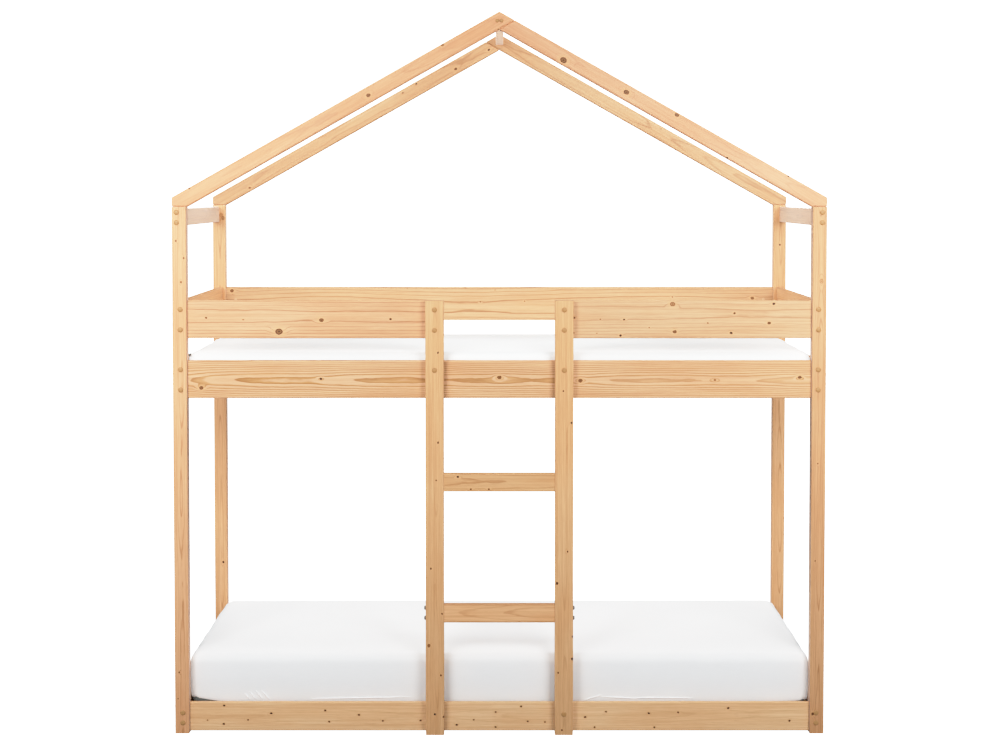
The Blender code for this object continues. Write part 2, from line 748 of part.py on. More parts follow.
def make_mattress(name, bottom, thickness, material, parent):
    """A crowned mattress whose sides are drawn in between its corners, which lift at the bottom."""
    half_length = BAY_X - MATTRESS_PLAY_LENGTH
    half_width = BAY_Y - MATTRESS_PLAY_WIDTH
    # The corners are rounded enough to pass the posts, which stand into the bay
    post_intrusion = half_length - INNER_X + half_width - INNER_Y
    corner = (MATTRESS_POST_CLEARANCE + post_intrusion / math.sqrt(2)) / (math.sqrt(2) - 1)
    outline = plan_outline(half_length, half_width, corner)
    corners = [
        Vector((x * (half_length - corner), y * (half_width - corner), 0))
        for x in BOTH_SIDES
        for y in BOTH_SIDES
    ]

    def edge_point(spot, inset, height):
        point, out = spot
        nearest = min((point - centre).length for centre in corners) - corner
        lift = CORNER_LIFT_SHARE * thickness * math.exp(-((nearest / CORNER_FADE) ** 2))
        across_long = max(0, 1 - (point.x / (half_length - corner)) ** 2)
        across_short = max(0, 1 - (point.y / (half_width - corner)) ** 2)
        draw = abs(out.y) * LONG_SIDE_DRAW * across_long + abs(out.x) * SHORT_SIDE_DRAW * across_short
        raised = height + lift * (1 - height / thickness) ** 3
        return point - out * (inset + draw) + UP * raised

    rings = []
    for inset, height in mattress_sections(thickness):
        rings.append([edge_point(spot, inset, height) for spot in outline])
    underside = [
        [Vector((point.x * share, point.y * share, point.z * share ** 8)) for point in rings[0]]
        for share in reversed(UNDERSIDE_RING_SHARES)
    ]
    crown = [
        [
            Vector((point.x * share, point.y * share, thickness * (1 + CROWN_SHARE * (1 - share**2))))
            for point in rings[-1]
        ]
        for share in CROWN_RING_SHARES
    ]
    rings = underside + rings + crown
    bm = bmesh.new()
    loops = [[bm.verts.new(point) for point in ring] for ring in rings]
    count = len(outline)
    for low, high in zip(loops, loops[1:]):
        for index in range(count):
            after = (index + 1) % count
            bm.faces.new((low[index], low[after], high[after], high[index]))
    for loop, height in ((loops[0], 0), (loops[-1], thickness * (1 + CROWN_SHARE))):
        hub = bm.verts.new((0, 0, height))
        for index in range(count):
            bm.faces.new((loop[index], loop[(index + 1) % count], hub))
    piece = place(name, bm, parent, material, (0, FRAME_MIDDLE, bottom))
    piece.data.shade_smooth()
    return piece


def main():
    clear_scene()
    pine = finish("pine", (0.79, 0.50, 0.27), 0.45)
    board_pine = finish("board_pine", (0.81, 0.51, 0.28), 0.45)
    pale_pine = finish("pale_pine", (0.84, 0.63, 0.46), 0.5)
    rough_pine = finish("rough_pine", (0.76, 0.55, 0.35), 0.6)
    cotton = finish("cotton", (0.86, 0.86, 0.87), 0.9)

    bed = group("house_bunk_bed")
    frame = group("frame", bed)
    roof = group("roof", bed)
    lower_bunk = group("lower_bunk", bed)
    upper_bunk = group("upper_bunk", bed)
    ladder = group("ladder", bed)

    make_posts(pine, frame)
    lower_rails = make_tier("lower_rail", board_pine, lower_bunk)
    upper_rails = make_tier("upper_rail", board_pine, upper_bunk)
    make_tier("guard", board_pine, upper_bunk)
    front_guards = make_front_guards(board_pine, upper_bunk)
    bored = [
        (lower_rails["front"], ladder_bore_spans("lower_rail", BOTH_SIDES)),
        (upper_rails["front"], ladder_bore_spans("upper_rail", BOTH_SIDES)),
    ]
    bored += [(front_guards[side], ladder_bore_spans("guard", (side,))) for side in BOTH_SIDES]
    for piece, spans in bored:
        combine(piece, "ladder_bores", rods(BORE_RADIUS, spans), "DIFFERENCE")
    make_ladder(pine, ladder)
    make_roof(pine, pale_pine, roof)

    lower_bottom = LOWER_RAIL_TOP - LOWER_MATTRESS_SINK
    upper_bottom = UPPER_RAIL_TOP - UPPER_MATTRESS_SINK
    make_slat_bed("lower", lower_bottom - GAP, rough_pine, rough_pine, lower_bunk)
    make_slat_bed("upper", upper_bottom - GAP, rough_pine, rough_pine, upper_bunk)
    make_mattress("lower_mattress", lower_bottom, LOWER_MATTRESS_THICKNESS, cotton, lower_bunk)
    make_mattress("upper_mattress", upper_bottom, UPPER_MATTRESS_THICKNESS, cotton, upper_bunk)


main()
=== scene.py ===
import bpy
import math
import random
from mathutils import Matrix, Vector


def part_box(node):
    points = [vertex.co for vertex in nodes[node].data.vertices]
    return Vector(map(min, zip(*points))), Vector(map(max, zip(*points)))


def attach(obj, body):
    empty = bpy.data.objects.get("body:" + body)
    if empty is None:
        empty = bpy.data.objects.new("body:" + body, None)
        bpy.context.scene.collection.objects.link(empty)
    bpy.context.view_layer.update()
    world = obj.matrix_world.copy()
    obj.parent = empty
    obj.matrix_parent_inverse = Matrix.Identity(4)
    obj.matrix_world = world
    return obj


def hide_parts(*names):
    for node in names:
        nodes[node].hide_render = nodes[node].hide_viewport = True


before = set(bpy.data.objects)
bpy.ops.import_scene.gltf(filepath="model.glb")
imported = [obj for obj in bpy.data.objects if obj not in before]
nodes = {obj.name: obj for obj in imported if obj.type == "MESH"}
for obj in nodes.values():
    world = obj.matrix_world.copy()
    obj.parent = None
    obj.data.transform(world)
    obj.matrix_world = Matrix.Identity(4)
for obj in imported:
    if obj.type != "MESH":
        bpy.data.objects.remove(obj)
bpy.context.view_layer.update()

print("frame loaded:", len(nodes), "nodes")


def setMode(mode):
    bpy.ops.object.mode_set(mode=mode)


def deselectAll():
    if bpy.context.mode != "OBJECT":
        setMode("OBJECT")
    bpy.ops.object.select_all(action="DESELECT")


def selectOnly(pieces):
    deselectAll()
    for piece in pieces:
        piece.select_set(True)
    bpy.context.view_layer.objects.active = pieces[0]


def keep(name):
    piece = bpy.context.object
    piece.name = piece.data.name = name
    return piece


def applyPlace():
    bpy.ops.object.transform_apply()


def applyAll(piece):
    for modifier in list(piece.modifiers):
        bpy.ops.object.modifier_apply(modifier=modifier.name)


def paint(piece, material):
    piece.data.materials.clear()
    piece.data.materials.append(material)


# node helpers
def link(tree, value, socket):
    if isinstance(value, bpy.types.NodeSocket):
        tree.links.new(value, socket)
    else:
        socket.default_value = value


def add(tree, kind, values=None, **settings):
    node = tree.nodes.new("ShaderNode" + kind)
    for name, value in settings.items():
        setattr(node, name, value)
    for name, value in (values or {}).items():
        link(tree, value, node.inputs[name])
    return node


def calc(tree, operation, *values):
    return add(tree, "Math", dict(enumerate(values)), operation=operation).outputs[0]


def times(tree, one, other):
    return calc(tree, "MULTIPLY", one, other)


def scaled(tree, value, share, rest):
    return calc(tree, "MULTIPLY_ADD", value, share, rest)


def move(tree, operation, *values):
    return add(tree, "VectorMath", dict(enumerate(values)), operation=operation).outputs[0]


def measure(tree, operation, *values):
    return add(tree, "VectorMath", dict(enumerate(values)), operation=operation).outputs[1]


def axes(tree, vector):
    return add(tree, "SeparateXYZ", {0: vector}).outputs


def noise(tree, vector, scale, detail=2.0, output=0):
    if isinstance(scale, tuple):  # a scale for each axis
        vector, scale = move(tree, "MULTIPLY", vector, scale), 1.0
    return add(tree, "TexNoise", {0: vector, "Scale": scale, "Detail": detail}).outputs[output]


def drift(tree, vector, scale, detail, reach):
    shift = move(tree, "SUBTRACT", noise(tree, vector, scale, detail, 1), (0.5, 0.5, 0.5))
    return move(tree, "MULTIPLY", shift, reach)


def between(tree, value, low, high, start=0.0, end=1.0):
    values = {0: value, 1: low, 2: high, 3: start, 4: end}
    return add(tree, "MapRange", values, interpolation_type="SMOOTHSTEP").outputs[0]


def tint(tree, factor, colour, other, blend="MIX"):
    values = {0: factor, 6: colour, 7: other}
    return add(tree, "Mix", values, data_type="RGBA", blend_type=blend).outputs[2]


def ramp(tree, value, stops):
    node = add(tree, "ValToRGB", {0: value})
    points = node.color_ramp.elements
    while len(points) < len(stops):
        points.new(0.5)
    for point, (place, colour) in zip(points, stops):
        point.position = place
        point.color = (*colour, 1) if isinstance(colour, tuple) else (colour, colour, colour, 1)
    return node.outputs[0]


def newGroup(name, inputs, outputs):
    tree = bpy.data.node_groups.new(name, "ShaderNodeTree")
    for way, sockets in (("INPUT", inputs), ("OUTPUT", outputs)):
        for kind, labels in sockets.items():
            for label in labels.split():
                tree.interface.new_socket(name=label, in_out=way, socket_type="NodeSocket" + kind)
    given = tree.nodes.new("NodeGroupInput").outputs
    return tree, given, tree.nodes.new("NodeGroupOutput").inputs


def newMaterial(name):
    material = bpy.data.materials.new(name)
    material.use_nodes = True
    tree = material.node_tree
    return material, tree, tree.nodes["Principled BSDF"].inputs, add(tree, "TexCoord").outputs


def dress(tree, shader, colour, roughness, height, strength, depth):
    bump = add(tree, "Bump", {"Height": height, "Strength": strength, "Distance": depth})
    link(tree, colour, shader["Base Color"])
    link(tree, roughness, shader["Roughness"])
    link(tree, bump.outputs[0], shader["Normal"])


# a knot is listed as place along and across its piece, size, and darkness
knot = {
    "rings": (  # distance from the heart and how dark it is there
        (0, 0.95), (0.09, 0.86), (0.18, 0.48), (0.34, 0.52), (0.43, 0.92), (0.49, 0.75), (0.56, 0),
    ),
    "disc": (0.75, 1.1),  # where the dark of a small knot fades out
    "halo": (0.9, 2.8),  # and the warm tone round it
    "bend": (0.22, 0, 0.32),  # the year rings part this gently round it
    "swell": -1.3,
    "sizeShare": 1120,  # a listed size over this is a radius in metres
    "big": 6,
    "bigShare": 1250,
    "darker": 1.2,
    "squeeze": 0.8,  # a little longer than high
    "solid": 0.0060,  # one smaller than this loses its rings
    "solidFade": 0.0025,
    "ragged": (0.0035, 0, 0.0035),
    "raggedScale": 160.0,
}


def makeKnotGroup():
    inputs = {"Vector": "Vector Centre Scale", "Float": "Tone Solid Swell Lift Dark Halo"}
    tree, given, result = newGroup("knot", inputs, {"Float": "Lift Dark Halo"})
    away = move(tree, "SUBTRACT", given["Vector"], given["Centre"])
    away = move(tree, "MULTIPLY", away, given["Scale"])
    near = measure(tree, "LENGTH", away)
    body = ramp(tree, times(tree, near, 0.5), knot["rings"])
    disc = times(tree, between(tree, near, *knot["disc"], 1.0, 0.0), given["Solid"])
    dark = times(tree, calc(tree, "MAXIMUM", body, disc), given["Tone"])
    link(tree, calc(tree, "MAXIMUM", dark, given["Dark"]), result["Dark"])
    halo = times(tree, between(tree, near, *knot["halo"], 1.0, 0.0), given["Tone"])
    link(tree, calc(tree, "MAXIMUM", halo, given["Halo"]), result["Halo"])
    flow = measure(tree, "LENGTH", move(tree, "MULTIPLY", away, knot["bend"]))
    lift = between(tree, flow, 0.0, 1.0, 1.0, 0.0)
    link(tree, scaled(tree, lift, given["Swell"], given["Lift"]), result["Lift"])
    return tree


# figure of the pine, with scales along, through and across a piece
grain = {
    "wander": (1.7, 0.5, 0.5),  # slow wander of the rings along the piece
    "wanderReach": (0, 0.034, 0.022),
    "ripple": (9, 38, 38),
    "rippleReach": (0, 0.004, 0.004),
    "luck": 0.2,  # how unevenly late wood starts
    "lateWidth": 0.2,
    "lateEnd": (0.94, 1.0),
    "rim": (0.72, 0.93),  # each ring's hard edge
    "rimStrength": 0.7,
    "rimTone": (0.62, 0.52, 0.42, 1),
    "streak": (3, 190, 190),
    "streakTones": ((0.25, (0.86, 0.80, 0.74)), (0.75, (1.08, 1.11, 1.14))),
    "fibre": (28, 1300, 1300),
    "fibreTones": ((0.3, (0.90, 0.87, 0.84)), (0.7, (1.05, 1.06, 1.06))),
    "blotch": (3.0, 14, 14),
    "blotchFade": (0.35, 0.65),
    "fleck": (26, 330, 330),
    "fleckFade": (0.10, 0.26, 0.35, 0.0),
    "fleckRare": 0.82,
    "fleckTone": (0.42, 0.22, 0.10, 1),
    "haloStrength": 0.5,
    "haloTone": (0.68, 0.36, 0.16, 1),
    "heartFade": (0.02, 0.5),
    "heartTones": ((0, (0.48, 0.22, 0.075)), (0.5, (0.21, 0.082, 0.022)), (1, (0.032, 0.010, 0.002))),
    "endStrength": 0.35,
    "endTone": (0.45, 0.26, 0.13, 1),
    "rough": {"plain": 0.42, "streak": 0.16, "late": -0.06, "end": 0.2},
    "relief": {"late": 0.35, "fibre": 0.5, "knot": -0.6},
}


def makeGrainGroup():
    numbers = "Wander Start Spacing Strength Lift Dark Halo End"
    inputs = {"Vector": "Vector Pith Seed", "Float": numbers, "Color": "Early Blush Late"}
    outputs = {"Color": "Colour", "Float": "Roughness Height"}
    tree, given, result = newGroup("pineGrain", inputs, outputs)
    own = move(tree, "ADD", given["Vector"], given["Seed"])
    wander = drift(tree, own, grain["wander"], 1.5, grain["wanderReach"])
    reach = {0: wander, "Scale": given["Wander"]}
    wander = add(tree, "VectorMath", reach, operation="SCALE").outputs[0]
    ripple = drift(tree, own, grain["ripple"], 3.0, grain["rippleReach"])
    place = move(tree, "SUBTRACT", given["Vector"], given["Pith"])
    place = move(tree, "ADD", place, move(tree, "ADD", wander, ripple))
    radius = measure(tree, "LENGTH", move(tree, "MULTIPLY", place, (0, 1, 1)))
    ring = calc(tree, "DIVIDE", calc(tree, "ADD", radius, given["Lift"]), given["Spacing"])
    part = calc(tree, "FRACT", ring)
    # no two rings alike
    year = {"W": calc(tree, "FLOOR", ring)}
    luck = add(tree, "TexWhiteNoise", year, noise_dimensions="1D").outputs[0]
    start = scaled(tree, luck, grain["luck"], given["Start"])
    late = between(tree, part, start, calc(tree, "ADD", start, grain["lateWidth"]))
    late = times(tree, late, between(tree, part, *grain["lateEnd"], 1.0, 0.0))
    late = times(tree, late, scaled(tree, luck, 0.5, 0.5))
    rim = times(tree, late, between(tree, part, *grain["rim"]))
    streak = noise(tree, own, grain["streak"], 4.0)
    fibre = noise(tree, own, grain["fibre"])
    blotch = between(tree, noise(tree, own, grain["blotch"]), *grain["blotchFade"])
    colour = tint(tree, blotch, given["Early"], given["Blush"])
    colour = tint(tree, times(tree, late, given["Strength"]), colour, given["Late"])
    hard = tint(tree, 1.0, given["Late"], grain["rimTone"], "MULTIPLY")
    rim = times(tree, rim, times(tree, given["Strength"], grain["rimStrength"]))
    colour = tint(tree, rim, colour, hard)
    colour = tint(tree, 1.0, colour, ramp(tree, streak, grain["streakTones"]), "MULTIPLY")
    colour = tint(tree, 1.0, colour, ramp(tree, fibre, grain["fibreTones"]), "MULTIPLY")
    # resin flecks
    place = move(tree, "MULTIPLY", own, grain["fleck"])
    fleck = add(tree, "TexVoronoi", {0: place, "Scale": 1.0}).outputs
    rare = add(tree, "SeparateColor", {0: fleck["Color"]}).outputs[0]
    rare = calc(tree, "GREATER_THAN", rare, grain["fleckRare"])
    spot = times(tree, between(tree, fleck["Distance"], *grain["fleckFade"]), rare)
    colour = tint(tree, spot, colour, grain["fleckTone"])
    # knots over it all, and darker end grain
    halo = times(tree, given["Halo"], grain["haloStrength"])
    colour = tint(tree, halo, colour, grain["haloTone"])
    heart = ramp(tree, given["Dark"], grain["heartTones"])
    colour = tint(tree, between(tree, given["Dark"], *grain["heartFade"]), colour, heart)
    end = times(tree, given["End"], grain["endStrength"])
    colour = tint(tree, end, colour, grain["endTone"])
    link(tree, colour, result["Colour"])
    rough, relief = grain["rough"], grain["relief"]
    value = scaled(tree, streak, rough["streak"], rough["plain"])
    value = scaled(tree, late, rough["late"], value)
    value = scaled(tree, given["End"], rough["end"], value)
    link(tree, value, result["Roughness"])
    value = scaled(tree, late, relief["late"], times(tree, fibre, relief["fibre"]))
    value = scaled(tree, given["Dark"], relief["knot"], value)
    link(tree, value, result["Height"])
    return tree


knotGroup = makeKnotGroup()
grainGroup = makeGrainGroup()


# pine: what differs from piece to piece
pine = {
    "early": (0.70, 0.385, 0.195),
    "blush": (0.67, 0.345, 0.165),
    "late": (0.46, 0.205, 0.075),
    # a tone for each piece: partly the board's own, partly painted light and shade that makes a piece
    # paler or darker for how the lamps reach it
    "shade": (1.0, 1.0, 1.0),
    "spacing": 0.0045,
    "strength": 0.45,
    "start": 0.55,  # share of a ring that is early wood
    "pith": (0.036, 0.004),  # heart's depth behind the piece's middle, and its height
    "wander": 1.0,
    "depths": (),  # or the ring that lies open on the face, from place to place
    "face": 0.009,  # from a board's middle to its face
    "endShade": 0.0,  # painted shade of the gap at the ends, for a board between posts
    "endTone": (0.12, 0.055, 0.022, 1),
    "endFade": 0.001,
    "endDark": 0.95,
    "edgeShade": 0.0,  # painted shade along the edges above and below
    "edgeTone": (0.36, 0.165, 0.062, 1),
    "edgeFade": 0.0015,
    "edgeDark": 0.6,
    "knots": (),
    "fuzz": 0.0,  # pale bloom of planed fibres in flat light
}


def grainWay(along, thick):
    along, thick = Vector(along).normalized(), Vector(thick)
    return Matrix((along, thick, along.cross(thick)))


roof = {"slope": (0.582, 1.030), "depth": 0.048, "top": 2.283}  # rise and run of a rafter's upper edge
rise, run = roof["slope"]
ways = {
    "long": grainWay((1, 0, 0), (0, 1, 0)),
    "end": grainWay((0, 1, 0), (-1, 0, 0)),
    "post": grainWay((0, 0, 1), (0, -1, 0)),
    "slat": grainWay((0, 1, 0), (0, 0, 1)),
    "rafterLeft": grainWay((run, 0, rise), (0, 1, 0)),
    "rafterRight": grainWay((run, 0, -rise), (0, 1, 0)),
}


def wayOf(name):
    if name.startswith("rafter"):
        return "rafterLeft" if name.endswith("left") else "rafterRight"
    if name.startswith(("post", "ladder_upright")):
        return "post"
    if "slat" in name:
        return "slat"
    if name.startswith(("ridge", "eave")):
        return "end"
    if name.endswith(("left", "right")) and "front" not in name:
        return "end"
    return "long"


def middleOf(name):
    low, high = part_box(name)
    if not name.startswith("rafter"):
        return (low + high) / 2
    side = -1 if name.endswith("left") else 1
    edge = Vector((side * run / 2, (low.y + high.y) / 2, roof["top"] - rise / 2))
    square = Vector((side * rise, 0, run)).normalized()
    return edge - square * roof["depth"] / 2


def pineMaterial(name, number, look):
    look = {**pine, **look}
    # the piece's tone, partly painted light and shade, goes into all three colours
    for tone in ("early", "blush", "late"):
        look[tone] = tuple(part * share for part, share in zip(look[tone], look["shade"]))
    way = ways[wayOf(name)]
    material, tree, shader, where = newMaterial("pine_" + name)
    place = {"Location": tuple(-(way @ middleOf(name))), "Rotation": tuple(way.to_euler())}
    inGrain = add(tree, "Mapping", {"Vector": where["Object"], **place}).outputs[0]
    marks = {"Lift": 0.0, "Dark": 0.0, "Halo": 0.0}
    if look["knots"]:
        ragged = drift(tree, inGrain, knot["raggedScale"], 2.0, knot["ragged"])
        nearKnots = move(tree, "ADD", inGrain, ragged)
        for along, across, size, tone in look["knots"]:
            size = size / (knot["bigShare"] if size > knot["big"] else knot["sizeShare"])
            values = {
                "Vector": nearKnots,
                "Centre": (along, 0, across),
                "Scale": (knot["squeeze"] / size, 0, 1 / size),
                "Tone": min(1.0, tone * knot["darker"]),
                "Solid": max(0.0, min(1.0, (knot["solid"] - size) / knot["solidFade"])),
                "Swell": knot["swell"] * size,
            }
            found = add(tree, "Group", {**values, **marks}, node_tree=knotGroup).outputs
            marks = {label: found[label] for label in marks}
    axis = axes(tree, inGrain)
    along, across = axis[0], axis[2]
    pith = (0, *look["pith"])
    if look["depths"]:
        curve = add(tree, "FloatCurve", {"Value": scaled(tree, along, 0.5, 0.5)})
        points = curve.mapping.curves[0].points
        while len(points) < len(look["depths"]):
            points.new(0.5, 0.5)
        for point, (place, year) in zip(points, look["depths"]):
            point.location = (place / 2 + 0.5, year / 10)
        curve.mapping.update()
        depth = scaled(tree, curve.outputs[0], 10 * look["spacing"], -look["face"])
        pith = add(tree, "CombineXYZ", {1: depth, 2: look["pith"][1]}).outputs[0]
    end = measure(tree, "DOT_PRODUCT", where["Normal"], tuple(way[0]))
    values = {
        "Vector": inGrain,
        "Pith": pith,
        "Seed": (number * 3.17, number * 0.73, number * 1.31),
        "End": between(tree, calc(tree, "ABSOLUTE", end), 0.85, 0.98),
    }
    values.update({label: look[label.lower()] for label in ("Wander", "Start", "Spacing", "Strength")})
    values.update({label: (*look[label.lower()], 1) for label in ("Early", "Blush", "Late")})
    wood = add(tree, "Group", {**values, **marks}, node_tree=grainGroup).outputs
    colour = wood["Colour"]
    low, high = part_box(name)
    # painted shade in the joint where a board's end meets the post
    if look["endShade"]:
        end = (high - low).x / 2 - look["endShade"]
        if name.endswith(("left", "right")):
            # only the end that meets the post
            along = times(tree, along, -1 if name.endswith("left") else 1)
        else:
            along = calc(tree, "ABSOLUTE", along)
        shade = between(tree, along, end, end + look["endFade"], 0.0, look["endDark"])
        colour = tint(tree, shade, colour, look["endTone"])
    # painted shade along the upper and lower edges
    if look["edgeShade"]:
        edge, fade = (high - low).z / 2 - look["edgeShade"], look["edgeFade"]
        across = calc(tree, "ABSOLUTE", across)
        shade = between(tree, across, edge - fade, edge + fade, 0.0, look["edgeDark"])
        colour = tint(tree, shade, colour, look["edgeTone"])
    dress(tree, shader, colour, wood["Roughness"], wood["Height"], strength=0.35, depth=0.0006)
    shader["Specular IOR Level"].default_value = 0.2
    shader["Sheen Weight"].default_value = look["fuzz"]
    shader["Sheen Roughness"].default_value = 0.35
    return material


# each piece's grain and knots, and its tone, which is partly painted light and shade
looks = {
    "rafter_front_left": {
        "shade": (0.96, 0.88, 0.9),
        "strength": 0.2,
        "knots": (
            (0.105, -0.002, 6, 0.8), (0.385, 0.021, 5, 0.55), (-0.528, 0.021, 3, 0.5),
            (0.561, -0.022, 2, 0.5),
        ),
    },
    "rafter_front_right": {
        "shade": (0.93, 0.89, 0.98),
        "strength": 0.2,
        "knots": (
            (-0.342, -0.01, 10.5, 1), (-0.121, 0.000, 8.5, 1), (0.052, 0.016, 6, 0.8),
            (0.256, -0.022, 2.5, 0.8), (0.451, 0.022, 3, 0.6),
        ),
    },
    "rafter_back_left": {
        "shade": (0.84, 0.88, 0.92),
        "knots": (
            (-0.459, -0.013, 4, 0.5), (-0.169, 0.024, 3, 0.6), (0.187, 0.012, 3, 0.7),
            (0.245, 0.016, 3.2, 0.8), (0.394, -0.007, 5, 0.9), (0.531, -0.006, 4, 0.9),
        ),
    },
    "rafter_back_right": {"shade": (0.84, 0.9, 0.96), "knots": ((0.079, 0.015, 2, 0.4),)},
    "guard_front_left": {
        "shade": (0.94, 0.97, 1.06),
        "late": (0.44, 0.2, 0.075),
        "strength": 0.85,
        "spacing": 0.0078,
        "start": 0.62,
        "pith": (0.0335, 0.01),
        "wander": 0.3,
        "endShade": 0.0058,
        "knots": (
            (-0.092, -0.039, 11, 0.85), (0.042, -0.003, 7, 0.85), (-0.322, 0.005, 3, 0.6),
            (0.26, 0.001, 3.5, 0.75), (-0.205, -0.001, 3, 0.35),
        ),
    },
    "guard_front_right": {
        "shade": (0.87, 0.96, 1.06),
        "strength": 0.55,
        "spacing": 0.0078,
        "start": 0.62,
        "pith": (0.0335, 0.018),
        "wander": 0.4,
        "endShade": 0.0058,
        "knots": (
            (-0.369, 0.005, 4.5, 0.85), (-0.379, -0.026, 4, 0.9), (-0.371, -0.043, 3.5, 0.8),
            (0.262, 0.049, 4, 0.8), (0.138, 0.019, 3.5, 0.6), (0.248, -0.012, 5, 0.9),
            (0.128, -0.043, 4, 0.85), (0.054, -0.012, 2.5, 0.6), (-0.057, 0.048, 8, 0.6),
            (-0.05, -0.039, 5.5, 0.85), (-0.221, -0.051, 4, 0.9), (-0.21, -0.001, 3, 0.8),
            (-0.285, 0.000, 2.2, 0.6), (-0.131, -0.026, 2.2, 0.5), (-0.296, -0.044, 2, 0.4),
        ),
    },
    "guard_back": {
        "shade": (0.77, 0.84, 0.89),
        "strength": 0.85,
        "spacing": 0.0095,
        "start": 0.6,
        "pith": (0.04, -0.01),
        "knots": (
            (-0.964, 0.046, 6, 0.9), (-0.332, 0.056, 2, 0.5), (-0.124, 0.057, 2, 0.6),
            (-0.016, 0.049, 2, 0.5), (-0.069, 0.006, 2.6, 0.8), (0.09, 0.009, 2, 0.7),
            (0.623, 0.024, 2.5, 0.7), (0.911, 0.02, 5.5, 0.9),
        ),
    },
    "upper_rail_front": {
        "shade": (0.94, 1.01, 1.14),
        "late": (0.48, 0.225, 0.062),
        "strength": 0.95,
        "spacing": 0.005,
        "start": 0.38,
        "wander": 0.12,
        "pith": (0.03, -0.003),
        "depths": (
            (-0.998, 8.1), (-0.969, 7.95), (-0.937, 7.72), (-0.9, 7.34), (-0.85, 7.24),
            (-0.812, 7.1), (-0.786, 6.94), (-0.753, 6.8), (-0.664, 6.7), (-0.595, 6.62),
            (-0.55, 6.35), (-0.468, 5.97), (-0.411, 5.74), (-0.3, 5.64), (-0.22, 5.8),
            (-0.185, 5.94), (-0.119, 5.74), (-0.036, 5.64), (-0.001, 5.5), (0.04, 5.6),
            (0.065, 5.72), (0.179, 5.7), (0.287, 5.48), (0.351, 5.06), (0.386, 4.95),
            (0.446, 4.84), (0.636, 4.82), (0.684, 4.97), (0.747, 5.08), (0.836, 4.96),
            (0.906, 4.6), (1.001, 4.3),
        ),
        "endShade": 0.0058,
        "knots": (
            (-0.942, -0.027, 6, 1), (-0.564, 0.002, 4, 0.85), (0.000, 0.006, 6.5, 1),
            (0.256, -0.004, 6, 1), (0.949, 0.006, 5, 1), (0.681, -0.002, 4, 0.4),
        ),
    },
    "lower_rail_front": {
        "shade": (1.16, 1.37, 1.48),
        "strength": 0.16,
        "endShade": 0.0058,
        "knots": (
            (-0.876, 0.035, 3.4, 0.8), (-0.726, 0.01, 3.4, 0.85), (-0.877, -0.024, 3.2, 0.8),
            (-0.8, -0.011, 2.8, 0.7), (-0.929, -0.012, 2.2, 0.5), (-0.554, 0.019, 3, 0.7),
            (-0.542, -0.017, 3, 0.6), (-0.447, 0.005, 3.2, 0.7), (-0.371, -0.014, 3, 0.7),
            (-0.251, -0.013, 3, 0.7), (-0.136, -0.027, 3.2, 0.8), (-0.082, -0.011, 2.6, 0.6),
            (-0.012, 0.014, 3, 0.7), (-0.012, -0.034, 3, 0.7), (0.069, 0.032, 3, 0.7),
            (0.09, -0.016, 2.8, 0.7), (0.145, -0.018, 2.8, 0.6), (0.273, -0.002, 3.2, 0.8),
            (0.339, 0.015, 3, 0.7), (0.303, -0.035, 2.8, 0.6), (0.475, 0.01, 3.2, 0.8),
            (0.493, -0.035, 3, 0.7), (0.569, 0.013, 3, 0.7), (0.728, 0.027, 3.4, 0.8),
            (0.923, -0.014, 3, 0.7),
        ),
    },
    "ladder_upright_left": {
        "shade": (0.93, 1.00, 0.99),
        "strength": 0.2,
        "knots": (
            (0.526, 0.011, 3, 0.9), (0.242, 0.011, 3, 0.7), (0.123, 0.005, 2.6, 0.6),
            (-0.157, -0.012, 3, 0.7), (-0.301, 0.023, 3, 0.7), (-0.402, -0.019, 5, 0.6),
            (-0.497, 0.019, 3, 0.7), (-0.63, 0.027, 3, 0.7),
        ),
    },
    "ladder_upright_right": {
        "shade": (0.92, 0.98, 0.96),
        "strength": 0.2,
        "knots": (
            (0.304, 0.023, 3.6, 0.8), (-0.103, 0.011, 3, 0.7), (-0.204, -0.022, 4.2, 0.95),
            (0.405, -0.003, 3, 0.7), (-0.374, 0.027, 3, 0.7), (-0.445, 0.026, 4, 0.9),
            (-0.489, -0.018, 3, 0.7), (-0.672, -0.006, 3, 0.7),
        ),
    },
    "ladder_rung_lower": {
        "shade": (1.04, 1.08, 1.08),
        "strength": 0.3,
        "pith": (0.05, 0.003),
        "edgeShade": 0.0035,
        "knots": ((0.062, -0.024, 1.6, 0.4), (0.02, -0.026, 1.4, 0.3)),
    },
    "ladder_rung_upper": {
        "shade": (0.87, 0.92, 0.88),
        "knots": ((-0.131, 0.018, 3.4, 0.85), (-0.09, -0.021, 3, 0.5), (-0.033, -0.021, 3, 0.5)),
    },
    "post_front_left": {
        "shade": (0.99, 1.00, 1.04),
        "fuzz": 0.45,
        "knots": (
            (0.729, -0.01, 3, 0.5), (0.675, 0.015, 3.4, 0.45), (0.599, 0.006, 3.4, 0.4),
            (-0.64, -0.008, 2.6, 0.5), (-0.724, -0.012, 2.2, 0.6), (-0.769, 0.027, 3.4, 0.9),
        ),
    },
    "post_front_right": {
        "shade": (0.86, 0.87, 0.87),
        "fuzz": 0.45,
        "knots": (
            (0.602, 0.006, 7, 0.4), (-0.773, -0.013, 4.5, 0.8), (0.026, -0.002, 2.4, 0.6),
            (-0.284, -0.009, 2.4, 0.6),
        ),
    },
    "post_back_left": {
        "shade": (1.03, 1.07, 1.09),
        "fuzz": 0.3,
        "knots": (
            (0.8, 0.008, 8, 0.4), (0.789, 0.014, 7, 0.5), (0.785, 0.001, 6, 0.35),
            (0.347, 0.004, 3.6, 0.8), (-0.455, 0.008, 4, 0.8),
        ),
    },
    "post_back_right": {"shade": (0.97, 1.01, 1.01), "fuzz": 0.3, "knots": ((0.693, 0.000, 3.2, 0.8),)},
}
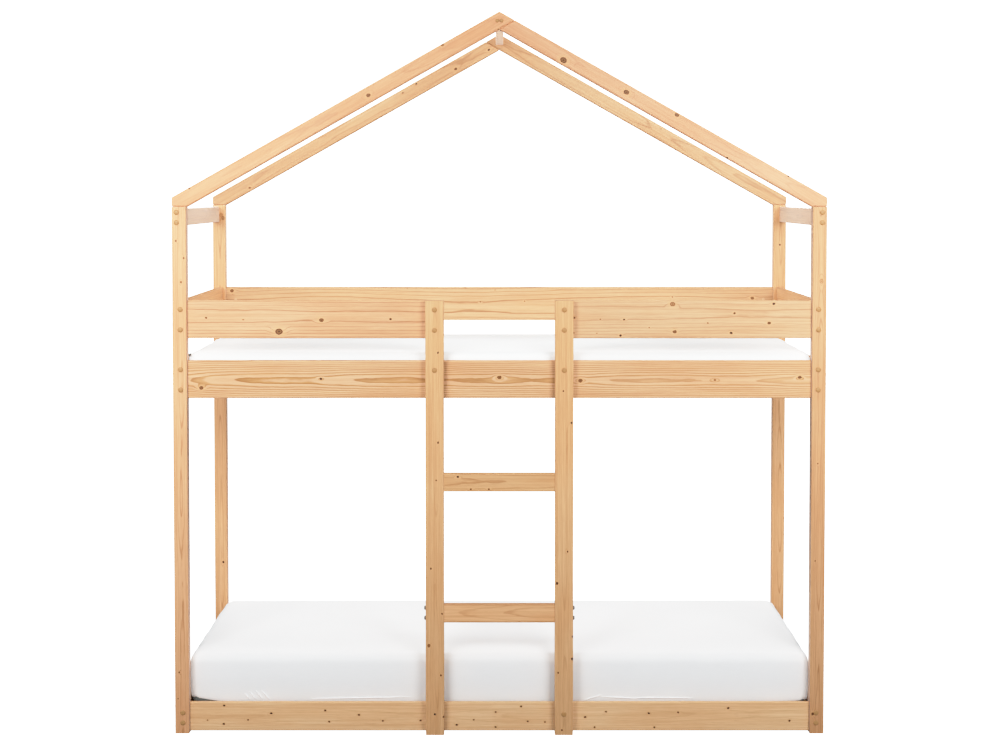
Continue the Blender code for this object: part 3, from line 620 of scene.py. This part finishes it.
for name, fuzz in {"ridge_beam": 0.38, "eave_beam_left": 0.54, "eave_beam_right": 0.5}.items():
    looks[name] = {
        "early": (0.70, 0.42, 0.245),
        "blush": (0.68, 0.385, 0.21),
        "late": (0.50, 0.26, 0.12),
        "strength": 0.3,
        "fuzz": fuzz,
    }

# knots for the pieces that have none listed
stray = {
    "seed": 100, "counts": (1, 2, 3), "along": 0.9, "across": 0.75, "size": (2.5, 6.5), "tone": (0.6, 0.9),
    "longReach": 0.8,  # a piece longer than twice this gets one more
}


def strayKnots(name, number):
    luck = random.Random(stray["seed"] + number)
    low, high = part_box(name)
    size = sorted(high - low)
    reach, width = size[2] / 2, size[1] / 2
    knots = []
    for count in range(luck.choice(stray["counts"]) + int(reach > stray["longReach"])):
        along = luck.uniform(-stray["along"], stray["along"]) * reach
        across = luck.uniform(-stray["across"], stray["across"]) * width
        knots.append((along, across, luck.uniform(*stray["size"]), luck.uniform(*stray["tone"])))
    return knots


def paintFrame():
    for number, name in enumerate(sorted(nodes)):
        if "mattress" in name:
            continue
        look = looks.get(name, {})
        if not look.get("knots") and not name.startswith(("eave", "ridge")):
            look = {**look, "knots": strayKnots(name, number)}
        material = pineMaterial(name, number, look)
        paint(nodes[name], material)
    print("pine on", len(nodes) - 2, "nodes")


paintFrame()


# turned fittings: rise is what stands out, rings are the insets of the top and their depth, and a
# recess has sides, radius, depth and stretch
cap = {
    "radius": 0.0081,
    "ridgeRadius": 0.0059,
    "height": 0.0025,
    "rise": 0.0017,
    "sides": 28,
    "crown": 0.0016,
    "rings": ((0.07, 0.36), (0.14, 0.32), (0.22, 0.22), (0.27, 0.10)),  # shares of radius and crown
    "bevel": 0.00022,
}
capPlaces = {
    "frontFace": (-0.480, 0.500),
    "sideFace": 1.030,
    "side": 1.005,
    "roofSide": 1.015,
    "ladderSide": 0.204,
    "ladderFace": -0.5003,
    "sideways": (-0.455, 0.475),
    "frontHeights": (0.035, 0.067, 1.095, 1.159, 1.285, 1.349),
    "roofHeights": (1.6225, 1.6545),
    "sideHeights": (0.019, 0.083, 1.111, 1.143, 1.301, 1.333),
    "ladderHeights": (0.067, 1.159, 1.285, 1.349),
    "ridgeSide": 0.0066,
    "ridgeHeights": (2.254,),
}
hole = {  # the ladder's bore without a cap
    "place": (-0.204, -0.4997, 0.067),
    "radius": 0.00345,
    "height": 0.012,
    "rise": 0.0,
    "sides": 24,
    "rings": ((0.0004, 0.0), (0.0002, -0.0096)),
}
screw = {
    "radius": 0.0064,
    "height": 0.0049,
    "rise": 0.003038,
    "sides": 28,
    "rings": ((0.0008, 0.0009), (0.0012, 0.0006), (0.0014, 0.0003)),
    "bevel": 0.0002,
    "recess": (6, 0.0020, 0.0022),
    "face": 0.2333,
    "depth": -0.4823,
    "heights": (0.3715, 0.4035),
}
plug = {
    "radius": 0.0049,
    "height": 0.008,
    "rise": 0.0013,
    "sides": 24,
    "rings": ((0.0006, 0.0),),
    "bevel": 0.00015,
}
slatScrew = {
    "radius": 0.0042,
    "height": 0.0022,
    "rise": 0.0002,
    "sides": 20,
    "rings": ((0.0004, 0.0),),
    "bevel": 0.0001,
    "recess": (4, 0.0005, 0.0010, 2.6),
    "fromEnd": 0.010,
    "fromMiddle": 0.028,
}
nut = {
    "radius": 0.0048,
    "height": 0.009,
    "rise": 0.0,
    "sides": 24,
    "rings": ((0.0005, 0.0),),
    "bevel": 0.0002,
    "recess": (4, 0.0006, 0.0014, 5.0),
    "below": 0.0011,
    "turn": 0.3,
    "boardEnd": 0.9507,
    "longFaces": (-0.446, 0.466),
    "longHeights": {"lower_rail": (0.019, 0.083), "upper_rail": (1.111, 1.143), "guard": (1.301, 1.333)},
    "endFaces": {"lower_rail": 0.996, "upper_rail": 0.996, "guard": 0.996, "eave": 1.006},
    "endDepths": (-0.4007, 0.4207),
    "endHeights": {
        "lower_rail": (0.035, 0.067), "upper_rail": (1.095, 1.159), "guard": (1.285, 1.349),
        "eave": (1.6225, 1.6545),
    },
}


def topOf(piece):
    return max(vertex.co.z for vertex in piece.data.vertices)


def startPicking(kind):
    setMode("EDIT")
    bpy.ops.mesh.select_mode(type=kind)
    bpy.ops.mesh.select_all(action="DESELECT")
    setMode("OBJECT")


def pickTop(piece):
    startPicking("FACE")
    top = topOf(piece)
    for face in piece.data.polygons:
        face.select = face.normal.z > 0.9 and face.center.z > top - 0.00005
    setMode("EDIT")


def cut(piece, sides, radius, depth, stretch=1.0):
    place = (0, 0, topOf(piece))
    deselectAll()
    bpy.ops.mesh.primitive_cylinder_add(vertices=sides, radius=radius, depth=depth * 2, location=place)
    tool = bpy.context.object
    tool.rotation_euler.z = math.pi / 4 if sides == 4 else 0.0
    applyPlace()
    tool.scale.x = stretch
    applyPlace()
    selectOnly([piece])
    recess = piece.modifiers.new("recess", "BOOLEAN")
    recess.operation = "DIFFERENCE"
    recess.object = tool
    applyAll(piece)
    bpy.data.objects.remove(tool)


def turned(shape):
    deselectAll()
    bpy.ops.mesh.primitive_cylinder_add(
        vertices=shape["sides"],
        radius=shape["radius"],
        depth=shape["height"],
        location=(0, 0, shape["rise"] - shape["height"] / 2),
    )
    applyPlace()
    piece = bpy.context.object
    pickTop(piece)
    for width, depth in shape["rings"]:
        bpy.ops.mesh.inset(thickness=width, depth=depth)
    setMode("OBJECT")
    if "bevel" in shape:
        rounding = piece.modifiers.new("rounding", "BEVEL")
        rounding.width = shape["bevel"]
        rounding.segments = 2
        rounding.limit_method = "ANGLE"
        rounding.angle_limit = math.radians(30)
        applyAll(piece)
        bpy.ops.object.shade_smooth_by_angle(angle=math.radians(50))
    if "recess" in shape:
        cut(piece, *shape["recess"])
    return piece


def makeCap(radius):
    rings = [(radius * width, cap["crown"] * rise) for width, rise in cap["rings"]]
    return turned({**cap, "radius": radius, "rings": rings})


def facing(place, outward, turn=0.0):
    outward = Vector(outward).to_track_quat("Z", "Y").to_matrix().to_4x4()
    return Matrix.Translation(place) @ outward @ Matrix.Rotation(turn, 4, "Z")


def row(across, depth, heights, outward):
    return [facing((across, depth, height), outward) for height in heights]


# one start copied to all of its places, each list of them joined to one piece
def spread(start, rows, material, slot):
    for name, places in rows.items():
        made = []
        for place in places:
            piece = start.copy()
            piece.data = start.data.copy()
            bpy.context.collection.objects.link(piece)
            piece.data.transform(place)
            made.append(piece)
        selectOnly(made)
        if len(made) > 1:
            bpy.ops.object.join()
        piece = keep(name)
        paint(piece, material)
        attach(piece, "frame")
    bpy.data.objects.remove(start)


def capMaterial():
    material, tree, shader, where = newMaterial("capPine")
    where = where["Object"]
    soft = noise(tree, where, 420.0, 3.0)
    fine = noise(tree, where, (900, 900, 5200))
    colour = ramp(tree, soft, ((0.3, (0.34, 0.175, 0.062)), (0.7, (0.42, 0.225, 0.085))))
    colour = tint(tree, 1.0, colour, ramp(tree, fine, ((0.3, 0.88), (0.7, 1.05))), "MULTIPLY")
    # painted light: the caps turn paler and warmer towards the floor, against the shade they get there
    low = between(tree, axes(tree, where)[2], 0.15, 0.9, 0.75, 0.0)
    colour = tint(tree, low, colour, (0.44, 0.235, 0.090, 1))
    rough = scaled(tree, soft, 0.2, 0.33)
    dress(tree, shader, colour, rough, fine, strength=0.25, depth=0.0002)
    shader["Specular IOR Level"].default_value = 0.2
    return material


# plainer finishes: noise scale and detail, its two tones, roughness by the noise, bump
finishes = {
    "plugPine": (
        (60, 60, 1200), 2.0, (0.52, 0.29, 0.15), (0.6, 0.35, 0.185), (0.15, 0.42), (0.2, 0.0002),
    ),
    "zincSteel": (900.0, 3.0, (0.085, 0.085, 0.085), (0.16, 0.16, 0.155), (0.25, 0.22), (0.2, 0.0001)),
    # dark grey mattress cover, partly painted shade where the mattress shows in the gaps
    "greyTickingAndShade": (
        (900, 900, 500), 2.0, (0.075, 0.085, 0.082), (0.135, 0.15, 0.145), (0.15, 0.8), (0.4, 0.0005),
    ),
}


def plainMaterial(name, metal=0.0):
    scale, detail, dark, pale, rough, bump = finishes[name]
    material, tree, shader, where = newMaterial(name)
    soft = noise(tree, where["Object"], scale, detail)
    colour = ramp(tree, soft, ((0.3, dark), (0.7, pale)))
    dress(tree, shader, colour, scaled(tree, soft, *rough), soft, *bump)
    shader["Metallic"].default_value = metal
    return material


# painted shade: the inside of the open bore is near black
def boreShadeMaterial():
    material, tree, shader, where = newMaterial("borePaintedShade")
    tones = ((0.3, (0.006, 0.004, 0.003)), (0.8, (0.03, 0.018, 0.01)))
    link(tree, ramp(tree, noise(tree, where["Object"], 1500.0), tones), shader["Base Color"])
    shader["Roughness"].default_value = 0.9
    shader["Specular IOR Level"].default_value = 0.0
    return material


def capRows():
    at = capPlaces
    rows = {}
    for number, end, outward in ((0, "front", -1), (1, "back", 1)):
        face, sideways = at["frontFace"][number], at["sideways"][number]
        for side, hand in ((-1, "left"), (1, "right")):
            places = row(side * at["side"], face, at["frontHeights"], (0, outward, 0))
            places += row(side * at["roofSide"], face, at["roofHeights"], (0, outward, 0))
            places += row(side * at["sideFace"], sideways, at["sideHeights"], (side, 0, 0))
            rows["caps_post_" + end + "_" + hand] = places
    # the left upright's lowest bore is left open
    heights, face = at["ladderHeights"], at["ladderFace"]
    places = row(-at["ladderSide"], face, heights[1:], (0, -1, 0))
    rows["caps_ladder"] = places + row(at["ladderSide"], face, heights, (0, -1, 0))
    return rows


def ridgeRow():
    places = []
    for face, outward in zip(capPlaces["frontFace"], (-1, 1)):
        for side in (-1, 1):
            across = side * capPlaces["ridgeSide"]
            places += row(across, face, capPlaces["ridgeHeights"], (0, outward, 0))
    return places


def screwRow():
    places = []
    for side in (-1, 1):
        for height in screw["heights"]:
            place = (side * screw["face"], screw["depth"], height)
            places.append(facing(place, (side, 0, 0), height * 40))
    return places


def nutRow(kind, turns):
    places = []
    for side in (-1, 1):
        for face, inward in zip(nut["longFaces"], (1, -1)):
            for height in nut["longHeights"].get(kind, ()):
                place = (side * nut["boardEnd"], face - inward * nut["below"], height)
                places.append(facing(place, (0, inward, 0), turns.uniform(-nut["turn"], nut["turn"])))
        for depth in nut["endDepths"]:
            for height in nut["endHeights"][kind]:
                place = (side * (nut["endFaces"][kind] + nut["below"]), depth, height)
                places.append(facing(place, (-side, 0, 0), turns.uniform(-nut["turn"], nut["turn"])))
    return places


def slatRow(bunk, turns):
    places = []
    inset, off = slatScrew["fromEnd"], slatScrew["fromMiddle"]
    for name in sorted(nodes):
        if name.startswith(bunk + "_slat"):
            low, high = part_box(name)
            for end in (low.y + inset, high.y - inset):
                for across in (-off, off):
                    place = ((low.x + high.x) / 2 + across, end, high.z)
                    places.append(facing(place, (0, 0, 1), turns.uniform(0, 3)))
    return places


def makeFittings():
    wood, steel = capMaterial(), plainMaterial("zincSteel", metal=1.0)
    spread(makeCap(cap["radius"]), capRows(), wood, "pine_cap")
    spread(makeCap(cap["ridgeRadius"]), {"caps_ridge": ridgeRow()}, wood, "pine_cap")
    spread(turned(screw), {"screws_rung": screwRow()}, steel, "steel_hardware")
    turns = random.Random(7)
    crossHoles = {kind: nutRow(kind, turns) for kind in nut["endHeights"]}
    # the guards' cross holes face the sleeper, so they are plugged
    plugged = {"plugs_guard": crossHoles.pop("guard")}
    nuts = {"nuts_" + kind: places for kind, places in crossHoles.items()}
    spread(turned(nut), nuts, steel, "steel_hardware")
    spread(turned(plug), plugged, plainMaterial("plugPine"), "pine_cap")
    rows = {"screws_" + bunk + "_slats": slatRow(bunk, turns) for bunk in ("lower", "upper")}
    spread(turned(slatScrew), rows, steel, "steel_hardware")
    bore = {"bore_ladder": [facing(hole["place"], (0, -1, 0))]}
    spread(turned(hole), bore, boreShadeMaterial(), "pine_frame")
    print("caps, screws and nuts placed")


makeFittings()


# mattresses in fitted sheets
mattress = {
    "slack": (0.001, 0.003, 0.003),  # how much smaller the start is
    "down": 0.002,
    "corner": 0.032,
    "edge": {"lower": 0.023, "upper": 0.012},
    "voxel": 0.0128,
    "frames": 20,
    "growSide": 0.0032,
    "growTop": 0.0075,
    "lift": {"lower": 0.015, "upper": 0.006},  # the elastic draws the bottom corners up
    "liftRight": 0.4,  # share of that at the right
    "liftReach": 0.13,
    "liftHeight": 0.6,  # share of the thickness
    "tuck": 0.0045,  # sides turn in a little towards the bottom
    "tuckEnd": 0.2,
    "tuckHeight": (0.05, 0.6),
    "tuckFade": 0.05,
    "topFrom": 0.5,
    "hills": 26,
    "hillHeight": 0.0009,
    "seed": {"lower": 11, "upper": 23},
    "proud": (0.001, 0.002),  # how far it may pass its node's box
}
fabric = {
    "use_pressure": True,
    "uniform_pressure_force": 4.0,
    "quality": 5,
    "mass": 0.3,
    "tension_stiffness": 18,
    "bending_stiffness": 0.4,
}
cotton = {
    "tones": ((0.862, 0.885, 0.898), (0.838, 0.878, 0.882), (0.96, 0.965, 0.97)),  # lower, upper, folds: the upper a little darker, painted shade, and the folds paler, painted highlight, on one cotton
    "vary": (0.02, 0.018, 0.015),
    "thread": 0.0011,
    "slub": (40, 420, 420),
    "cloud": 7.0,
}


def sheetMaterial(number):
    material, tree, shader, where = newMaterial("cottonSheet_" + str(number))
    place = where["Object"]
    facingWay = axes(tree, move(tree, "ABSOLUTE", where["Normal"]))
    own = axes(tree, place)
    up = calc(tree, "GREATER_THAN", facingWay[2], 0.6)
    side = calc(tree, "GREATER_THAN", facingWay[0], facingWay[1])
    across = add(tree, "Mix", {0: side, 2: own[0], 3: own[1]}).outputs[0]
    across = add(tree, "Mix", {0: up, 2: across, 3: own[0]}).outputs[0]
    down = add(tree, "Mix", {0: up, 2: own[2], 3: own[1]}).outputs[0]
    thread = 2 * math.pi / cotton["thread"]
    warp = calc(tree, "SINE", times(tree, across, thread))
    weft = calc(tree, "SINE", times(tree, down, thread))
    weave = times(tree, warp, weft)
    slub = noise(tree, place, cotton["slub"], 3.0)
    tone = cotton["tones"][number]
    paler = tuple(part + more for part, more in zip(tone, cotton["vary"]))
    colour = ramp(tree, noise(tree, place, cotton["cloud"]), ((0.3, tone), (0.7, paler)))
    colour = tint(tree, 1.0, colour, ramp(tree, slub, ((0.3, 0.985), (0.7, 1.008))), "MULTIPLY")
    rough = scaled(tree, slub, 0.12, 0.82)
    height = scaled(tree, weave, 0.25, times(tree, slub, 0.6))
    dress(tree, shader, colour, rough, height, strength=0.30, depth=0.0004)
    shader["Sheen Weight"].default_value = 0.15
    shader["Sheen Roughness"].default_value = 0.5
    return material


def boxStart(middle, size):
    deselectAll()
    bpy.ops.mesh.primitive_cube_add(size=1, location=middle)
    piece = bpy.context.object
    piece.scale = size
    applyPlace()
    return piece


def upright(one, other):
    return abs(one.z - other.z) > 0.02


def level(one, other):
    return abs(one.z - other.z) < 0.001


def bevelEdges(piece, width, wanted):
    startPicking("EDGE")
    points = piece.data.vertices
    for edge in piece.data.edges:
        edge.select = wanted(*(points[index].co for index in edge.vertices))
    setMode("EDIT")
    bpy.ops.mesh.bevel(offset=width, segments=6, profile=0.5)
    setMode("OBJECT")


def mattressStart(low, high, bunk):
    middle = (low + high) / 2
    size = (high - low) - 2 * Vector(mattress["slack"])
    piece = boxStart(middle - Vector((0, 0, mattress["down"])), size)
    bevelEdges(piece, mattress["corner"], upright)
    bevelEdges(piece, mattress["edge"][bunk], lambda one, other: level(one, other) and one.z > middle.z)
    return piece


def swell(piece, low, high):
    remesh = piece.modifiers.new("skin", "REMESH")
    remesh.mode = "VOXEL"
    remesh.voxel_size = mattress["voxel"]
    applyAll(piece)
    before = [vertex.co.copy() for vertex in piece.data.vertices]
    cloth = piece.modifiers.new("cloth", "CLOTH")
    for name, value in fabric.items():
        setattr(cloth.settings, name, value)
    cloth.settings.effector_weights.gravity = 0
    cloth.point_cache.frame_start = 1
    cloth.point_cache.frame_end = mattress["frames"]
    for number in range(1, mattress["frames"] + 1):
        bpy.context.scene.frame_set(number)
    applyAll(piece)
    bpy.context.scene.frame_set(1)
    middle = (low + high) / 2
    grow = (mattress["growSide"], mattress["growSide"], mattress["growTop"])
    for vertex, start in zip(piece.data.vertices, before):
        for axis in range(3):
            # the filling holds the sheet out, so it never draws in
            outward = 1 if start[axis] > middle[axis] else -1
            change = (vertex.co[axis] - start[axis]) * outward
            vertex.co[axis] = start[axis] + outward * max(0.0, min(grow[axis], change))


def ease(value, low, high):
    share = max(0.0, min(1.0, (value - low) / (high - low)))
    return share * share * (3 - 2 * share)


def makeHills(bunk):
    wave = random.Random(mattress["seed"][bunk])
    return [
        (wave.uniform(-1, 1), wave.uniform(-0.45, 0.45), wave.uniform(0.12, 0.3), wave.uniform(-1, 1))
        for hill in range(mattress["hills"])
    ]


def hillAt(spot, hills):
    total = 0
    for x, y, size, tallness in hills:
        total += tallness * math.exp(-(((spot.x - x) / size) ** 2) - (((spot.y - y) / size) ** 2))
    return total


def shapeSheet(piece, low, high, bunk):
    middle = (low + high) / 2
    reach = (high - low) / 2
    hills = makeHills(bunk)
    for vertex in piece.data.vertices:
        spot = vertex.co
        fromEnd = reach.x - abs(spot.x - middle.x)
        fromSide = reach.y - abs(spot.y - middle.y)
        rise = (spot.z - low.z) / (high.z - low.z)
        corner = math.hypot(fromEnd, fromSide * 0.8)
        lift = mattress["lift"][bunk] * (1 - ease(corner, 0.0, mattress["liftReach"]))
        lift *= 1 - ease(rise, 0.0, mattress["liftHeight"])
        spot.z += lift if spot.x < middle.x else lift * mattress["liftRight"]
        tuck = mattress["tuck"] * (1 - ease(rise, *mattress["tuckHeight"]))
        tuckEnd = tuck * mattress["tuckEnd"] * (1 - ease(fromEnd, 0.0, mattress["tuckFade"]))
        tuckSide = tuck * (1 - ease(fromSide, 0.0, mattress["tuckFade"]))
        spot.x -= math.copysign(tuckEnd, spot.x - middle.x)
        spot.y -= math.copysign(tuckSide, spot.y - middle.y)
        if rise > mattress["topFrom"]:
            top = ease(rise, mattress["topFrom"], 1.0)
            spot.z += mattress["hillHeight"] * hillAt(spot, hills) * top


# small folds where the sheet is drawn up at the front: along, up, length and lean
fold = {
    "width": 0.0020,
    "thick": 0.0024,
    "sink": 0.0008,
    "places": (
        (-0.789, 0.112, 0.036, -38), (-0.768, 0.113, 0.040, -38), (-0.748, 0.113, 0.040, -38),
        (-0.806, 0.108, 0.026, -38), (-0.440, 0.1030, 0.330, 89), (0.300, 0.1045, 0.060, 72),
        (0.385, 0.1035, 0.120, 93), (0.520, 0.1030, 0.200, 90),
    ),
}
# a dark grey sliver that shows at the upper sheet's front left corner, partly the mattress cover and
# partly painted shade of the gap by the end rail
cornerShade = {"place": (-0.9885, -0.392, 1.1995), "size": (0.0042, 0.046, 0.0034), "turn": 3}


def blob(size, turn, place, rings, material):
    deselectAll()
    bpy.ops.mesh.primitive_uv_sphere_add(segments=16, ring_count=rings, radius=1)
    piece = bpy.context.object
    piece.scale = size
    piece.rotation_euler = [math.radians(angle) for angle in turn]
    piece.location = place
    applyPlace()
    bpy.ops.object.shade_smooth()
    paint(piece, material)
    return piece


def joinTo(sheet, made):
    selectOnly([sheet, *made])
    bpy.ops.object.join()


def frontOf(sheet, along, up):
    return sheet.ray_cast(Vector((along, -2, up)), Vector((0, 1, 0)))[1].y


def addFolds(sheet, material):
    made = []
    for along, up, length, lean in fold["places"]:
        place = (along, frontOf(sheet, along, up) - fold["sink"], up)
        size = (fold["width"], fold["thick"], length / 2)
        made.append(blob(size, (0, lean, 0), place, 10, material))
    joinTo(sheet, made)


# the mattress itself, which shows a little under the sheet; its dark grey is partly painted shade
core = {"inset": 0.0095, "low": 0.0005, "corner": 0.028, "edge": 0.010, "height": 0.75}


def declare(name, node):
    piece = keep(name)
    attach(piece, node)
    return piece


def makeCore(bunk, material):
    node = bunk + "_mattress"
    low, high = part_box(node)
    low = low + Vector((core["inset"], core["inset"], core["low"]))
    high = high - Vector((core["inset"], core["inset"], 0))
    high.z = low.z + (high.z - low.z) * core["height"]
    piece = boxStart((low + high) / 2, high - low)
    bevelEdges(piece, core["corner"], upright)
    bevelEdges(piece, core["edge"], level)
    bpy.ops.object.shade_smooth_by_angle(angle=math.radians(40))
    paint(piece, material)
    declare("core_" + bunk, node)


def makeMattress(number, bunk, tickingAndShade):
    node = bunk + "_mattress"
    low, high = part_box(node)
    piece = mattressStart(low, high, bunk)
    swell(piece, low, high)
    shapeSheet(piece, low, high, bunk)
    finer = piece.modifiers.new("finer", "SUBSURF")
    finer.levels = finer.render_levels = 1
    applyAll(piece)
    bpy.ops.object.shade_smooth()
    below, above = mattress["proud"]
    for vertex in piece.data.vertices:
        for axis in range(3):
            vertex.co[axis] = max(low[axis] - below, min(high[axis] + above, vertex.co[axis]))
    paint(piece, sheetMaterial(number))
    if bunk == "lower":
        # the folds take the paler tone, a painted highlight on their ridges
        addFolds(piece, sheetMaterial(2))
    else:
        # the dark sliver at the corner, partly painted shade
        joinTo(piece, [blob(cornerShade["size"], (0, 0, cornerShade["turn"]), cornerShade["place"], 12, tickingAndShade)])
    piece = declare("sheet_" + bunk, node)
    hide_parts(node)
    print(bunk, "mattress made:", len(piece.data.vertices), "points")


tickingAndShade = plainMaterial("greyTickingAndShade")
for number, bunk in enumerate(("lower", "upper")):
    makeMattress(number, bunk, tickingAndShade)
    makeCore(bunk, tickingAndShade)


# camera, a little above the guards and looking slightly down
camera = {
    "place": (0.0019, -7.0007, 1.7156),
    "lookDown": 2.542,  # degrees
    "lens": 74.7,
    "shift": -0.09,
}
studio = {
    "backdrop": 3.0,
    "ambient": (0.165, 0.17, 0.18),
    # film curve: half the scene's light, and what shows of it
    "curve": ((0.2, 0.4), (0.35, 0.66), (0.5, 0.83), (0.75, 0.95)),
}
# lights: place, aim, size, power, and spread in degrees
lights = {
    "softbox": ((1.5, -3.6, 2.2), (1.55, -0.3, 1.55), (1.5, 1.1), 46, 84),  # one at each side
    "wing": ((4.6, 0, 2.3), (0, 0, 1.9), (2.0, 1.0), 26, 75),  # far out, for the roof and the posts
    "behind": ((0, 3.4, 2.95), (0, 0, 0.7), (3.0, 1.0), 160, 180),
    "low": ((0, 0.01, 1.32), (0, 0.01, 2.25), (0.1, 0.7), 0.75, 40),  # thrown up to the ridge
    "above": ((0, -0.7, 4.8), (0, 0, 1.2), (2.6, 1.2), 66, 180),
}
floor = {
    "size": 80,
    "height": -0.0005,
    "colour": (0.26, 0.26, 0.27, 1),
    "glow": 3.0,
    # the floor right under the bed stays in its shade: its edge along and across
    "shadeAlong": (0.94, 1.03),
    "shadeAcross": (0.40, 0.49),
    "shadeMiddle": 0.01,
}


def studioLight(kind, side=1, hand=""):
    place, target, size, power, spread = lights[kind]
    place = Vector((side * place[0], *place[1:]))
    target = Vector((side * target[0], *target[1:]))
    turn = (target - place).to_track_quat("-Z", "Y").to_euler()
    deselectAll()
    bpy.ops.object.light_add(type="AREA", location=place, rotation=turn)
    lamp = keep(kind + hand)
    lamp.data.shape = "RECTANGLE"
    lamp.data.size, lamp.data.size_y = size
    lamp.data.energy = power
    lamp.data.spread = math.radians(spread)
    return lamp


def makeCamera():
    deselectAll()
    pitch = math.radians(90 - camera["lookDown"])
    bpy.ops.object.camera_add(location=camera["place"], rotation=(pitch, 0, 0))
    eye = keep("camera")
    eye.data.lens = camera["lens"]
    eye.data.shift_y = camera["shift"]
    bpy.context.scene.camera = eye


def makeFloor():
    deselectAll()
    bpy.ops.mesh.primitive_plane_add(size=floor["size"], location=(0, 0, floor["height"]))
    piece = keep("floor")
    material, tree, shader, where = newMaterial("paleFloor")
    shader["Base Color"].default_value = floor["colour"]
    shader["Roughness"].default_value = 0.9
    spot = axes(tree, where["Object"])
    along = between(tree, calc(tree, "ABSOLUTE", spot[0]), *floor["shadeAlong"])
    across = calc(tree, "ABSOLUTE", calc(tree, "SUBTRACT", spot[1], floor["shadeMiddle"]))
    clear = calc(tree, "MAXIMUM", along, between(tree, across, *floor["shadeAcross"]))
    seen = add(tree, "LightPath").outputs["Is Camera Ray"]
    glow = times(tree, times(tree, seen, clear), floor["glow"])
    link(tree, (1, 1, 1, 1), shader["Emission Color"])
    link(tree, glow, shader["Emission Strength"])
    paint(piece, material)


def makeStudio():
    makeCamera()
    for side, hand in ((-1, "_left"), (1, "_right")):
        studioLight("softbox", side, hand)
        studioLight("wing", side, hand)
    studioLight("behind").visible_glossy = False
    low = studioLight("low")
    low.visible_camera = low.visible_glossy = False
    studioLight("above")
    makeFloor()
    world = bpy.data.worlds.new("studio")
    bpy.context.scene.world = world
    world.use_nodes = True
    tree = world.node_tree
    seen = add(tree, "LightPath").outputs["Is Camera Ray"]
    colour = tint(tree, seen, (*studio["ambient"], 1), (studio["backdrop"],) * 3 + (1,))
    link(tree, colour, tree.nodes["Background"].inputs["Color"])
    view = bpy.context.scene.view_settings
    view.view_transform = "Standard"
    view.use_curve_mapping = True
    view.curve_mapping.white_level = (2, 2, 2)
    for share, shown in studio["curve"]:
        view.curve_mapping.curves[3].points.new(share, shown)
    view.curve_mapping.update()
    print("studio ready")


makeStudio()
